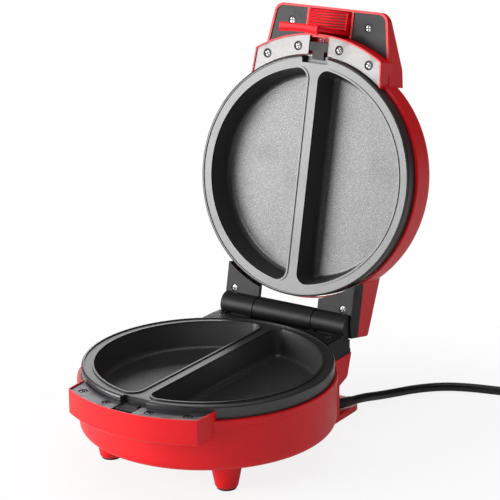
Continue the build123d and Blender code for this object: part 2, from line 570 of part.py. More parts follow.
# ---------------------------------------------------------------- heel: supply and control
BLOCK_X_LOW, BLOCK_X_HIGH, BLOCK_Y_LOW, BLOCK_Y_HIGH = -22.0, 22.0, 67.5, 80.5
BLOCK_H = 10.5
BLOCK_TOP_Z = SERVICE_TOP_Z + BLOCK_H
CLAMP_AT = -12.0        # cord clamp, from the heel's back wall inwards
CLAMP_L, CLAMP_HALF, CLAMP_T = 5.0, 7.6, 2.2
CLAMP_SCREW = 5.4
CLAMP_SCREW_R = 0.9
JACKET_END = -16.5
RELIEF_L, RELIEF_TIP_R, RELIEF_COLLAR_R, RELIEF_COLLAR_T = 22.0, 3.65, 6.2, 1.5
STAT_X, STAT_Y, STAT_R, STAT_H = -14.0, 66.0, 8.5, 7.6
FUSE_R, FUSE_L = 2.0, 10.0
WIRE_R = 1.1


def cradle(low, high):
    """Block across the cord under its clamp, between two heights."""
    return Pos(*cord_place(CLAMP_AT, 0, (low + high) / 2)) * Rot(0, 0, -CORD_YAW) * Box(
        2 * CLAMP_HALF, CLAMP_L, high - low)


def clamp_screw_places():
    return [cord_place(CLAMP_AT, side * CLAMP_SCREW)[:2] for side in (-1, 1)]


def make_service_cover():
    """Plate closing the heel from below, with the cradle that the cord is clamped on."""
    inset = WALL + FIT
    plate = block(-HEEL_HALF + inset, HEEL_HALF - inset, HEEL_FRONT_Y + inset, HEEL_BACK_Y - inset,
                  HEEL_LOW_Z, SERVICE_TOP_Z)
    plate += cradle(SERVICE_TOP_Z - 0.5, CORD_Z)
    plate -= along_cord(JACKET_END - 5, 0, CORD_D / 2)
    for x, y in both_sides(SERVICE_SCREWS):
        plate -= drum(x, y, HEEL_LOW_Z, SERVICE_TOP_Z, SCREW_R + RUN)
        plate -= drum(x, y, HEEL_LOW_Z - 1, HEEL_LOW_Z + 1.2, 2.4 + FIT)
    for x, y in clamp_screw_places():
        plate -= drum(x, y, HEEL_LOW_Z + 0.8, CORD_Z, CLAMP_SCREW_R + RUN)
    return plate

def make_service_screws():
    screws = [screw_up(x, y, -(HEEL_LOW_Z + 1.2), 2.4, 1.0, SCREW_R, SERVICE_SCREW_BITE) for x, y in
              both_sides(SERVICE_SCREWS)]
    return group([upside_down(screw, 0.0) for screw in screws])


def make_cord_clamp():
    bar = cradle(CORD_Z, CORD_Z + CORD_D / 2 + CLAMP_T) - along_cord(JACKET_END - 5, 0, CORD_D / 2)
    for x, y in clamp_screw_places():
        bar -= drum(x, y, CORD_Z - 1, CORD_Z + 2 * CORD_D, CLAMP_SCREW_R + RUN)
    return bar


def make_clamp_screws():
    seat = CORD_Z + CORD_D / 2 + CLAMP_T
    return group([screw_up(x, y, seat, 1.8, 0.8, CLAMP_SCREW_R, seat - HEEL_LOW_Z - 1.2)
                  for x, y in clamp_screw_places()])


def make_strain_relief():
    """Tapered rubber sleeve on the cord, held by a collar inside the heel's wall."""
    collar_end = -WALL / cos(radians(CORD_YAW)) - RELIEF_COLLAR_R * tan(radians(CORD_YAW)) - FIT
    sleeve = along_cord(collar_end, 0, GLAND_R) + along_cord(0, RELIEF_L, GLAND_R, RELIEF_TIP_R)
    sleeve += along_cord(collar_end - RELIEF_COLLAR_T, collar_end, RELIEF_COLLAR_R)
    for number in range(3):
        groove = 5.0 + 4.5 * number
        sleeve -= along_cord(groove, groove + 1.2, GLAND_R + 1) - along_cord(groove, groove + 1.2, RELIEF_TIP_R)
    return sleeve - along_cord(collar_end - 5, RELIEF_L + 1, CORD_D / 2)


def make_terminal_block():
    """Four-way terminal block on the service cover."""
    shape = block(BLOCK_X_LOW, BLOCK_X_HIGH, BLOCK_Y_LOW, BLOCK_Y_HIGH, SERVICE_TOP_Z, BLOCK_TOP_Z)
    ways = 4
    pitch = (BLOCK_X_HIGH - BLOCK_X_LOW) / ways
    for number in range(1, ways):
        x = BLOCK_X_LOW + number * pitch
        shape -= block(x - 0.5, x + 0.5, BLOCK_Y_LOW - 1, BLOCK_Y_HIGH + 1, BLOCK_TOP_Z - 3, BLOCK_TOP_Z + 1) - \
            block(-LEAD_R - 1.5, LEAD_R + 1.5, BLOCK_Y_LOW, BLOCK_Y_HIGH, 0, BLOCK_TOP_Z)
    return shape


def make_thermostat():
    """Snap-disc thermostat under the reflector."""
    top = PAN_Z - PAN_T
    can = drum(STAT_X, STAT_Y, top - STAT_H * 0.45, top, STAT_R)
    return can + drum(STAT_X, STAT_Y, top - STAT_H, top - STAT_H * 0.4, STAT_R - 1.2)


STAT_LOW_Z = PAN_Z - PAN_T - STAT_H
STAT_WIRES = [(-10.5, 70.5), (-17.5, 70.5)]
FUSE_X, FUSE_Y = -18.0, 80.0
FUSE_LOW_Z = 19.5


def make_thermal_fuse():
    return drum(FUSE_X, FUSE_Y, FUSE_LOW_Z, FUSE_LOW_Z + FUSE_L, FUSE_R)


def make_base_wiring():
    """Insulated wires: cord to block, block to thermostat, fuse and heater, and the lid's lead."""
    tab_z = TUBE_Z - TAB_T / 2
    tab_y = LEG_END_Y + 1.5
    (near_x, near_y), (far_x, far_y) = STAT_WIRES
    loop_z = FUSE_LOW_Z - 3.5
    wires = [
        wire_tube([(LEG_X, 76, BLOCK_TOP_Z), (LEG_X, 76, 24), (LEG_X, tab_y, 31), (LEG_X, tab_y, tab_z)], WIRE_R, 3.0),
        drum(near_x, near_y, BLOCK_TOP_Z, STAT_LOW_Z, WIRE_R),
        wire_tube([(far_x, far_y, STAT_LOW_Z), (far_x, far_y, loop_z), (FUSE_X, FUSE_Y, loop_z),
                   (FUSE_X, FUSE_Y, FUSE_LOW_Z)], WIRE_R, 2.0),
        wire_tube([(FUSE_X, FUSE_Y, FUSE_LOW_Z + FUSE_L), (FUSE_X, FUSE_Y, 32.5), (-LEG_X, tab_y, 37),
                   (-LEG_X, tab_y, tab_z)], WIRE_R, 2.0),
        wire_tube(lead_route(), LEAD_R, 4.0)]
    for side in (-1, 1):
        start, middle = cord_place(JACKET_END, side * 1.6), cord_place(JACKET_END - 3.5, side * 1.6)
        wires.append(wire_tube([start, middle, (BLOCK_X_HIGH, middle[1], CORD_Z)], WIRE_R, 2.0))
    return group(wires)


def make_foot_pads():
    """Rubber pads in the four feet."""
    return group([drum(x, y, 0, PAD_T, PAD_R) for x, y in both_sides([(FOOT_X, FOOT_Y), (FOOT_X, -FOOT_Y)])])


def make_heel_pads():
    return group([drum(side * HEEL_PAD_X, HEEL_PAD_Y, 0, HEEL_PAD_T, HEEL_PAD_R) for side in (-1, 1)])


# ---------------------------------------------------------------- lid housing, drawn shut
DOME_R = 644.0
DOME_H = 47.0           # dome's centre above the base plate's rim
LID_EDGE_R, LID_EDGE_H = PLATE_R - 6.0, 41.5
LID_WALL_H = 31.5
LID_WALL_ROUND, LID_EDGE_ROUND = 8.0, 10.0
DOME_Z = 2 * MIRROR_Z - (RIM_Z + DOME_H)        # heights below are in the mirrored frame
LID_EDGE_Z = 2 * MIRROR_Z - (RIM_Z + LID_EDGE_H)
LID_WALL_Z = 2 * MIRROR_Z - (RIM_Z + LID_WALL_H)

HANDLE_FRONT_Y = -(PLATE_R + 36.5)
HANDLE_HALF, HANDLE_SPLAY = 48.0, 0.16
HANDLE_CORNER = 8.0
HANDLE_RIM_H, HANDLE_FRONT_H = 18.0, 23.5       # underside and top of its front edge, above the rim
HANDLE_SLOPE = 0.42     # its top rises to the lid's skin, then runs level into it
HANDLE_LEVEL_Y = -PLATE_R
HANDLE_EDGE_ROUND = 2.2
HANDLE_WALL = 1.6
HANDLE_SIDE_WALL = 1.8
HANDLE_COVER_IN, HANDLE_COVER_T = 0.8, 1.6
HANDLE_SCREWS = [(33.0, -PLATE_R - 24.0)]
HANDLE_SCREW_L = 6.2
HANDLE_WELL = 0.8
RECESS_HALF, RECESS_WALL = 18.2, 1.8
HANDLE_BACK_Y = 17.0 - PLATE_R
HANDLE_RIM_Z = RIM_Z + HANDLE_RIM_H
HANDLE_FRONT_Z = RIM_Z + HANDLE_FRONT_H
HANDLE_COVER_Z = HANDLE_RIM_Z + HANDLE_COVER_IN
HANDLE_TOP_Z = HANDLE_FRONT_Z + HANDLE_SLOPE * (HANDLE_BACK_Y - HANDLE_FRONT_Y) + 1

POD_LOW_X, POD_HIGH_X = KNUCKLE_SPLIT + KNUCKLE_GAP, HEEL_HALF - 0.4
POD_FRONT_Y, POD_BACK_Y = 70.0, HINGE_Y + 9.0
POD_SEAT_H = 15.0
POD_FRONT_H, POD_BACK_H = 39.0, 30.4
POD_ROUND = 3.0
POD_SEAT_Z = RIM_Z + POD_SEAT_H
ARM_LOW_Z = RIM_Z + 1.5
ARM_SCREWS = [(HEEL_HALF - 8.0, PLATE_R + 2.4)]
ARM_SCREW_L = 18.0
LEAN_Z = ARM_LOW_Z + 4.0                # arms and pods draw back from the middle above this
LEAN_SLOPE = 0.7

LENS_R, LENS_PLACE = 4.0, (9.0, 34.0)

# rocker latch under the handle
LATCH_Y, LATCH_Z = -(PLATE_R + 27.0), RIM_Z + 19.9
LATCH_PIN_R = 1.2
LATCH_BARREL_R = 2.6
LATCH_HALF, LATCH_ARM_HALF = 16.8, 16.0
LATCH_ARM_T = 2.5
LATCH_ARM_GAP = 0.6     # latch arm in front of the lugs, hooked
LATCH_BITE, LATCH_FREE = 2.6, 0.5       # nose under the base lug, and clear of it when free
LATCH_NOSE_T = 3.2
LATCH_FACE_H = 14.5     # ribbed face above the base plate's rim
LATCH_BLOCK_L = 13.5
LATCH_RIBS = 6
LATCH_RIB_DEPTH = 0.9
LATCH_SWING = degrees((LATCH_BITE + LATCH_FREE) / (LATCH_Z - LUG_LOW_Z))
ARM_BACK_Y = LUG_FRONT_Y - LATCH_ARM_GAP
ARM_FRONT_Y = ARM_BACK_Y - LATCH_ARM_T
LATCH_BLOCK_Y = ARM_FRONT_Y - 0.9
LATCH_FACE_Z = RIM_Z + LATCH_FACE_H


def opened(part):
    """Move a part drawn on the shut lid to its place on the opened lid."""
    return Pos(0, HINGE_Y, HINGE_Z) * Rot(-OPEN_ANGLE, 0, 0) * Pos(0, -HINGE_Y, -HINGE_Z) * part


def lid_bowl(inset, rim_r, top_z):
    """Domed bowl in the mirrored frame, its skins moved in by inset."""
    slope = atan2(LID_WALL_Z - LID_EDGE_Z, SKIN_R - LID_EDGE_R)
    out_y, out_z = -inset * sin(slope), inset * cos(slope)
    reach = (LID_EDGE_Z - DOME_Z + 6) / tan(slope)
    low = (LID_EDGE_R - reach + out_y, DOME_Z - 6 + out_z)
    high_z = LID_WALL_Z + out_z + (rim_r - (SKIN_R + out_y)) * tan(slope)
    bowl = turned([(0, low[1]), low, (rim_r, high_z), (rim_r, top_z), (0, top_z)], {2: LID_WALL_ROUND}, -SKIN_SHIFT)
    bowl &= Pos(0, -SKIN_SHIFT, DOME_Z + DOME_R) * Sphere(DOME_R - inset)
    rings = [edge for edge in bowl.edges() if edge.is_closed]
    return fillet(min(rings, key=lambda edge: edge.center().Z), LID_EDGE_ROUND)


def handle_plan(inset, z_low, z_high):
    def half(y):
        return HANDLE_HALF + HANDLE_SPLAY * (y - HANDLE_FRONT_Y) - inset
    front = HANDLE_FRONT_Y + inset
    return plan_prism([(-half(HANDLE_BACK_Y), HANDLE_BACK_Y), (-half(front), front), (half(front), front),
                       (half(HANDLE_BACK_Y), HANDLE_BACK_Y)], z_low, z_high,
                      {1: HANDLE_CORNER - inset, 2: HANDLE_CORNER - inset})


def handle_roof(drop):
    """Space under the handle's sloping top, lowered by drop."""
    top = HANDLE_FRONT_Z - drop
    level = top + HANDLE_SLOPE * (HANDLE_LEVEL_Y - HANDLE_FRONT_Y)
    return side_prism([(HANDLE_FRONT_Y, top), (HANDLE_LEVEL_Y, level), (HANDLE_BACK_Y, level),
                       (HANDLE_BACK_Y, HANDLE_RIM_Z - 5), (HANDLE_FRONT_Y, HANDLE_RIM_Z - 5)],
                      -HANDLE_HALF - 15, HANDLE_HALF + 15)


def make_handle_outside():
    pod = handle_plan(0.0, HANDLE_RIM_Z, HANDLE_TOP_Z) & handle_roof(0.0)
    top_faces = [face for face in pod.faces() if face.normal_at().Z > 0.5]
    edges = [edge for face in top_faces for edge in face.edges()
             if edge.center().Y < HANDLE_LEVEL_Y - 1]
    return fillet(edges, HANDLE_EDGE_ROUND)


def make_handle_hollow():
    """Handle's inside, without the walls of the latch's recess and the screw bosses."""
    drop = HANDLE_WALL / cos(atan2(HANDLE_SLOPE, 1))
    space = handle_plan(HANDLE_SIDE_WALL, HANDLE_RIM_Z - 1, HANDLE_TOP_Z) & handle_roof(drop)
    for side in (-1, 1):
        low, high = sorted((side * RECESS_HALF, side * (RECESS_HALF + RECESS_WALL)))
        space -= block(low, high, HANDLE_FRONT_Y, HANDLE_BACK_Y, HANDLE_RIM_Z, HANDLE_TOP_Z)
    for x, y in both_sides(HANDLE_SCREWS):
        space -= drum(x, y, HANDLE_COVER_Z + HANDLE_COVER_T, HANDLE_TOP_Z, BOSS_R)
    return space


def pod_prism(inset, x_low, x_high, front_y):
    slope = (POD_BACK_H - POD_FRONT_H) / (POD_BACK_Y - POD_FRONT_Y)
    lower = inset / cos(atan2(slope, 1))
    return side_prism([(front_y, POD_SEAT_Z - inset), (POD_BACK_Y - inset, POD_SEAT_Z - inset),
                       (POD_BACK_Y - inset, RIM_Z + POD_BACK_H - lower - slope * inset),
                       (front_y, RIM_Z + POD_FRONT_H - lower + slope * (front_y - POD_FRONT_Y))], x_low, x_high,
                      {2: max(POD_ROUND - inset, 0.0)})


def lean(side, inset):
    """What a leaning inner side takes off an arm or a pod, moved in by inset."""
    near = POD_LOW_X + inset * sqrt(1 + LEAN_SLOPE ** 2)
    high_z = RIM_Z + POD_FRONT_H + 5
    corners = [(near, LEAN_Z), (near + LEAN_SLOPE * (high_z - LEAN_Z), high_z), (0, high_z), (0, LEAN_Z)]
    return front_prism([(side * x, z) for x, z in corners], 0, POD_BACK_Y + 5)


def make_pods(inset):
    """The two pods that stand over the hinge arms, moved in by inset."""
    pods = []
    for side in (-1, 1):
        low, high = sorted((side * (POD_LOW_X + inset), side * (POD_HIGH_X - inset)))
        pods.append(pod_prism(inset, low, high, POD_FRONT_Y + inset) - lean(side, inset))
    return pods


def arm_bosses():
    """Bosses for the arms' screws, each with a web to its pod's side wall."""
    bosses = []
    for x, y in both_sides(ARM_SCREWS):
        wall_x = POD_HIGH_X - WALL / 2 if x > 0 else -POD_HIGH_X + WALL / 2
        web = block(min(x, wall_x), max(x, wall_x), y - WALL / 2, y + WALL / 2, POD_SEAT_Z, RIM_Z + POD_BACK_H)
        bosses.append(drum(x, y, POD_SEAT_Z, RIM_Z + POD_BACK_H, BOSS_R) + web)
    return bosses


def make_lid_housing():
    """Red lid: domed bowl with front lug, handle pod and the two pods over the hinge arms."""
    band_low = HOUSING_RIM_Z - BAND_H
    lid = lid_bowl(0.0, SKIN_R, HOUSING_RIM_Z)
    lid += turned([(INNER_R, band_low - 2), (SKIN_R, band_low - BAND_EDGE), (BAND_R, band_low),
                   (BAND_R, HOUSING_RIM_Z - BAND_EDGE), (BAND_R - BAND_EDGE, HOUSING_RIM_Z),
                   (INNER_R, HOUSING_RIM_Z)], None, -SKIN_SHIFT)
    lid += lug_outside()
    lid = upside_down(lid, MIRROR_Z)
    lid += make_handle_outside() - make_handle_hollow()
    for outer, inner in zip(make_pods(0.0), make_pods(WALL)):
        lid += outer - inner
    hollow = lid_bowl(WALL, INNER_R, LEDGE_Z)
    hollow += drum(0, 0, LEDGE_Z - 1, HOUSING_RIM_Z + 1, BORE_R)
    hollow += drum(0, 0, HOUSING_RIM_Z, LUG_TOP_Z + 1, PLATE_R + COVER_RIM_CLEAR)
    hollow -= lid_bowl_ledge()
    hollow += lug_hollow()
    lid -= upside_down(hollow, MIRROR_Z)
    details = []
    for boss in lug_bosses():
        details.append(boss)
    for x, y in pan_posts():
        details.append(drum(x, y, DOME_Z + 5.2, PAN_Z - PAN_T, POST_R))
    for detail in details:
        lid += upside_down(detail, MIRROR_Z)
    for boss in arm_bosses():
        lid += boss - drum(0, -SKIN_SHIFT, 0, 2 * RIM_Z, SKIN_R - 1)
    for hole in lug_screw_holes() + [drum(x, y, PAN_Z - PAN_SCREW_L - 0.5, PAN_Z, PAN_SCREW_R + RUN)
                                     for x, y in pan_posts()]:
        lid -= upside_down(hole, MIRROR_Z)
    for x, y in both_sides(ARM_SCREWS):
        lid -= drum(x, y, ARM_LOW_Z, ARM_LOW_Z + WELL_DEPTH + ARM_SCREW_L + 0.5, SCREW_R + RUN)
    for x, y in both_sides(HANDLE_SCREWS):
        lid -= drum(x, y, HANDLE_COVER_Z, HANDLE_COVER_Z + HANDLE_WELL + HANDLE_SCREW_L - 0.5, SCREW_R + RUN)
    lid -= roller(-RECESS_HALF - RECESS_WALL - 0.05, RECESS_HALF + RECESS_WALL + 0.05, LATCH_Y, LATCH_Z,
                  LATCH_PIN_R)
    for x, y in both_sides([LENS_PLACE]):
        lid -= drum(x, y, RIM_Z + DOME_H - 5, RIM_Z + DOME_H + 5, LENS_R + RUN)
    return opened(lid - wire_tube(lid_lead_route(), LEAD_R + LEAD_CLEAR, 4.0))


def lid_bowl_ledge():
    """Ring left under the counterbore, where the reflector's flange lies."""
    return turned([(INNER_R, LEDGE_Z - 1), (BORE_R + 1, LEDGE_Z - 1), (BORE_R + 1, LEDGE_Z), (INNER_R, LEDGE_Z)],
                  None, -SKIN_SHIFT)


def lid_lead_route():
    """The lid lead's centre line, from inside the hinge pin to the lid's bowl."""
    turn_x, rise_z = PIN_HIGH_X + 4.0, POD_SEAT_Z + 2
    return [(KNUCKLE_SPLIT - 0.4, HINGE_Y, HINGE_Z), (turn_x, HINGE_Y, HINGE_Z), (turn_x - 1, HINGE_Y - 4, rise_z),
            (turn_x - 3.5, PLATE_R, rise_z + 9), (turn_x - 7.5, PLATE_R - 15, rise_z + 13.5),
            (33.0, PLATE_R - 11.7, rise_z + 14), (22.0, PLATE_R - 8, rise_z + 14.5)]


# ---------------------------------------------------------------- hinge arms
STOP_HALF = 2.6         # half thickness of an open stop


def make_hinge_arms():
    """Two black arms under the lid's pods, with knuckles, and stops that meet the base's cover."""
    slope = atan2(COVER_TOP_Z - 0.4 - COVER_SLOPE_Z, COVER_SLOPE_Y - COVER_EDGE_Y)
    reach = ((HINGE_Y - COVER_EDGE_Y) * sin(slope) + (HINGE_Z - COVER_TOP_Z + 0.4) * cos(slope)) - FIT
    arms = []
    for side in (-1, 1):
        low, high = sorted((side * POD_LOW_X, side * POD_HIGH_X))
        arm = side_prism([(POD_FRONT_Y, ARM_LOW_Z), (HINGE_Y - 2, ARM_LOW_Z), (POD_BACK_Y, HINGE_Z + 3),
                          (POD_BACK_Y, POD_SEAT_Z), (POD_FRONT_Y, POD_SEAT_Z)], low, high) - lean(side, 0.0)
        knuckle = sorted((side * POD_LOW_X, side * (KNUCKLE_END - 0.2)))
        arm += roller(*knuckle, HINGE_Y, HINGE_Z, KNUCKLE_R)
        stop = sorted((side * STOP_LOW_X, side * STOP_HIGH_X))
        rib = block(*stop, -STOP_HALF, STOP_HALF, -reach, -KNUCKLE_R + 2)
        arm += Pos(0, HINGE_Y, HINGE_Z) * Rot(OPEN_ANGLE - degrees(slope), 0, 0) * rib
        bore = sorted((side * (POD_LOW_X - 1), PIN_LOW_X - RUN if side < 0 else PIN_HIGH_X + RUN))
        arm -= roller(*bore, HINGE_Y, HINGE_Z, PIN_R + RUN)
        arm -= drum(0, -SKIN_SHIFT, 0, 2 * RIM_Z, BAND_R + 0.1)
        arm -= drum(0, 0, 0, POD_SEAT_Z, PLATE_R + COVER_RIM_CLEAR)
        arms.append(arm)
    for x, y in both_sides(ARM_SCREWS):
        hole = drum(x, y, 0, POD_SEAT_Z, SCREW_R + RUN) + drum(x, y, 0, ARM_LOW_Z + WELL_DEPTH, WELL_R)
        arms = [arm - hole for arm in arms]
    arms = [arm - wire_tube(lid_lead_route(), LEAD_R + LEAD_CLEAR, 4.0) for arm in arms]
    return group([opened(arm) for arm in arms])


def make_hinge_arm_screws():
    screws = [screw_up(x, y, -ARM_LOW_Z - WELL_DEPTH, SCREW_HEAD_R, SCREW_HEAD_H, SCREW_R, ARM_SCREW_L)
              for x, y in both_sides(ARM_SCREWS)]
    return group([opened(upside_down(screw, 0.0)) for screw in screws])


# ---------------------------------------------------------------- handle cover and latch


def latch_free(part):
    """Turn the hooked latch out to its free place."""
    return Pos(0, LATCH_Y, LATCH_Z) * Rot(-LATCH_SWING, 0, 0) * Pos(0, -LATCH_Y, -LATCH_Z) * part


def make_latch():
    """Rocker latch: ribbed thumb block, arm and a hook that goes under the base's lug."""
    catch_z = LUG_LOW_Z - FIT
    front = LATCH_BLOCK_Y - LATCH_BLOCK_L
    hook = side_prism([(LUG_FRONT_Y + 8, catch_z), (ARM_BACK_Y, catch_z), (ARM_BACK_Y, LATCH_FACE_Z + 4),
                       (ARM_FRONT_Y, LATCH_FACE_Z + 4), (ARM_FRONT_Y, catch_z - LATCH_NOSE_T + 1.0),
                       (ARM_FRONT_Y + 1.0, catch_z - LATCH_NOSE_T), (LUG_FRONT_Y + 8, catch_z - LATCH_NOSE_T)],
                      -LATCH_ARM_HALF, LATCH_ARM_HALF, {4: 0.0})
    nose_r = LUG_BOW_R - LATCH_BITE
    hook -= drum(0, LUG_CENTRE_Y, 0, catch_z + 1, nose_r)
    ramp = Pos(0, LUG_CENTRE_Y, catch_z - LATCH_NOSE_T) * Cone(
        nose_r + 2.4, nose_r, 2.4, align=(Align.CENTER, Align.CENTER, Align.MIN))
    hook -= ramp
    body = side_prism([(ARM_BACK_Y, LATCH_FACE_Z + 3), (ARM_BACK_Y, HANDLE_RIM_Z + 2.0), (ARM_BACK_Y - 4, HANDLE_RIM_Z + 3.8),
                       (LATCH_Y, HANDLE_RIM_Z + 3.8), (LATCH_Y - 3.6, HANDLE_RIM_Z + 2.5), (front, HANDLE_RIM_Z + 1.0),
                       (front, LATCH_FACE_Z), (LATCH_BLOCK_Y, LATCH_FACE_Z), (ARM_FRONT_Y, LATCH_FACE_Z + 1.0)],
                      -LATCH_HALF, LATCH_HALF, {6: 1.0})
    pitch = LATCH_BLOCK_L / (LATCH_RIBS + 0.5)
    for number in range(LATCH_RIBS):
        groove_y = LATCH_BLOCK_Y - pitch * (number + 0.75)
        body -= block(-LATCH_HALF + 1.2, LATCH_HALF - 1.2, groove_y - pitch * 0.22, groove_y + pitch * 0.22,
                      LATCH_FACE_Z - 1, LATCH_FACE_Z + LATCH_RIB_DEPTH)
    body += roller(-RECESS_HALF + FIT, RECESS_HALF - FIT, LATCH_Y, LATCH_Z, LATCH_BARREL_R)
    latch = hook + body - roller(-RECESS_HALF, RECESS_HALF, LATCH_Y, LATCH_Z, LATCH_PIN_R + RUN)
    return opened(latch_free(latch))


def make_latch_pin():
    return opened(roller(-RECESS_HALF - RECESS_WALL, RECESS_HALF + RECESS_WALL, LATCH_Y, LATCH_Z, LATCH_PIN_R))


def make_handle_covers():
    """Two dark covers in the handle's underside, beside the latch's recess."""
    covers = handle_plan(HANDLE_SIDE_WALL + SEAT, HANDLE_COVER_Z, HANDLE_COVER_Z + HANDLE_COVER_T)
    covers -= lug_shape(0, 2 * RIM_Z, -FIT)
    covers -= block(-RECESS_HALF - RECESS_WALL - SEAT, RECESS_HALF + RECESS_WALL + SEAT, HANDLE_FRONT_Y, 0,
                    HANDLE_COVER_Z - 1, HANDLE_COVER_Z + 5)
    for x, y in both_sides(HANDLE_SCREWS):
        covers -= drum(x, y, HANDLE_COVER_Z - 1, HANDLE_COVER_Z + 5, SCREW_R + RUN)
        covers -= drum(x, y, HANDLE_COVER_Z - 1, HANDLE_COVER_Z + HANDLE_WELL, WELL_R)
    return opened(group([covers]))


def make_handle_screws():
    screws = [screw_up(x, y, -HANDLE_COVER_Z - HANDLE_WELL, SCREW_HEAD_R, HANDLE_WELL, SCREW_R, HANDLE_SCREW_L - 1)
              for x, y in both_sides(HANDLE_SCREWS)]
    return group([opened(upside_down(screw, 0.0)) for screw in screws])


# ---------------------------------------------------------------- lamps and lid wiring
LENS_FLANGE, LENS_FLANGE_T = 1.0, 1.2
LENS_STAND = 1.0        # lens above the dome around it
LAMP_R, LAMP_L = 2.4, 5.0
LENS_SAG = DOME_R - sqrt(DOME_R ** 2 - (hypot(*LENS_PLACE) + LENS_R + LENS_FLANGE + SKIN_SHIFT) ** 2)
LENS_LOW_Z = RIM_Z + DOME_H - WALL - LENS_SAG - LENS_FLANGE_T - SEAT
LID_WIRE_R = 0.9


def make_lamp_lenses():
    """Lenses in the dome, held by a flange underneath."""
    top = RIM_Z + DOME_H - LENS_SAG + LENS_STAND
    lens = drum(0, 0, LENS_LOW_Z, top, LENS_R)
    lens = fillet(lens.edges().group_by(Axis.Z)[-1], LENS_STAND * 0.8)
    lens += drum(0, 0, LENS_LOW_Z, LENS_LOW_Z + LENS_FLANGE_T, LENS_R + LENS_FLANGE)
    return group([opened(Pos(x, y, 0) * lens) for x, y in both_sides([LENS_PLACE])])


def make_indicator_lamps():
    return group([opened(drum(x, y, LENS_LOW_Z - LAMP_L, LENS_LOW_Z, LAMP_R)) for x, y in both_sides([LENS_PLACE])])


def make_lid_wiring():
    """The lid's lead and its wires to the heater and the lamps."""
    tab_z = 2 * MIRROR_Z - TUBE_Z + TAB_T / 2
    tab_y = LEG_END_Y + 1.5
    lead = lid_lead_route()
    end = lead[-1]
    lamp_z = LENS_LOW_Z - LAMP_L * 0.8
    x, y = LENS_PLACE
    wires = [wire_tube(lead, LEAD_R, 4.0)]
    tab_x, bend_z = LEG_X + 1.7, RIM_Z + 31.0
    for side in (-1, 1):
        wires.append(wire_tube([(side * x, y + LAMP_R, lamp_z), (side * x, PLATE_R - 12.5, lamp_z),
                                (side * tab_x, PLATE_R - 8.5, bend_z + 4.5), (side * tab_x, tab_y, bend_z),
                                (side * tab_x, tab_y, tab_z)], LID_WIRE_R, 1.2))
    near_x = LEG_X - 1.7
    wires.append(wire_tube([end, (LEG_X + 3, tab_y, bend_z + 0.3), (near_x, tab_y, bend_z - 0.3),
                            (near_x, tab_y, tab_z)], LID_WIRE_R, 1.2))
    return group([opened(wire) for wire in wires])


# ---------------------------------------------------------------- supply cord
CORD_R = CORD_D / 2
CORD_STRAIGHT = 13.5    # it goes on straight that far beyond the strain relief
CORD_ROUTE = [(61.5, 135.0, 6.8), (65.5, 152.5, 4.0), (75.0, 171.0, 3.3), (91.0, 187.0, 3.3),
              (111.0, 195.8, 3.3), (132.5, 200.8, 3.3), (152.5, 208.6, 3.3)]
COIL_X, COIL_Y, COIL_MID_R, COIL_TURNS = 160.5, 253.8, 39.0, 2
COIL_HEADING = 20.0     # the cord's heading where it joins the coil
COIL_H = CORD_D * COIL_TURNS
PLUG_W, PLUG_L, PLUG_TAIL, PLUG_TAIL_R = 24.0, 28.0, 26.0, 4.6
PLUG_TAIL_START = 14.0
BLADE_W, BLADE_T, BLADE_L, BLADE_PITCH = 6.3, 1.5, 17.0, 12.7
PLUG_Z = COIL_H - CORD_R


def coil_entry(distance, z):
    """Point beyond the tangent point on the coil's entry line."""
    heading = radians(COIL_HEADING)
    return (COIL_X + COIL_MID_R * sin(heading) + distance * cos(heading),
            COIL_Y - COIL_MID_R * cos(heading) + distance * sin(heading), z)


def make_cord_coil():
    inner, outer = COIL_MID_R - CORD_R, COIL_MID_R + CORD_R
    return Pos(COIL_X, COIL_Y, 0) * turned([(inner, 0), (outer, 0), (outer, COIL_H), (inner, COIL_H)],
                                           {0: 2.5, 1: 2.5, 2: 2.5, 3: 2.5})


def make_power_cord():
    """The cord's free stretch: straight runs joined by the largest arcs that they allow."""
    start = Vector(*cord_place(RELIEF_L))
    points = [start, Vector(*cord_place(RELIEF_L + CORD_STRAIGHT))] + [Vector(*p) for p in CORD_ROUTE]
    points.append(Vector(*coil_entry(-6.0, CORD_R)))
    radii = []
    for before, here, after in zip(points, points[1:], points[2:]):
        run_in, run_out = here - before, after - here
        turn = radians(run_in.get_angle(run_out))
        radii.append(0.45 * min(run_in.length, run_out.length) / tan(turn / 2))
        print("cord run %.1f  turn %.1f  radius %.1f" % (run_in.length, degrees(turn), radii[-1]))
    path = FilletPolyline(*points, radius=radii)
    free = sweep(Plane(path @ 0, z_dir=path % 0) * Circle(CORD_R), path)
    print("cord tube volume", round(free.volume), "section x length", round(pi * CORD_R ** 2 * path.length))
    print("cord length", round(path.length + RELIEF_L + COIL_TURNS * 2 * pi * COIL_MID_R + PLUG_TAIL_START))
    inside = along_cord(JACKET_END, RELIEF_L, CORD_R)
    return free + inside - make_cord_coil()


def on_plug(part):
    """Place a part drawn along +X from the coil's exit point."""
    return Pos(*coil_entry(0, PLUG_Z)) * Rot(0, 0, COIL_HEADING) * part


def make_plug_body():
    start = PLUG_TAIL_START
    tail = Pos(start + PLUG_TAIL / 2, 0, 0) * Rot(0, 90, 0) * Cone(CORD_R + 0.3, PLUG_TAIL_R, PLUG_TAIL)
    body = Pos(start + PLUG_TAIL + PLUG_L / 2, 0, 0) * Box(PLUG_L, PLUG_W, 2 * PLUG_Z)
    body = chamfer(body.edges().filter_by(Axis.X), 3.5)
    return on_plug(tail + body) - make_cord_coil()


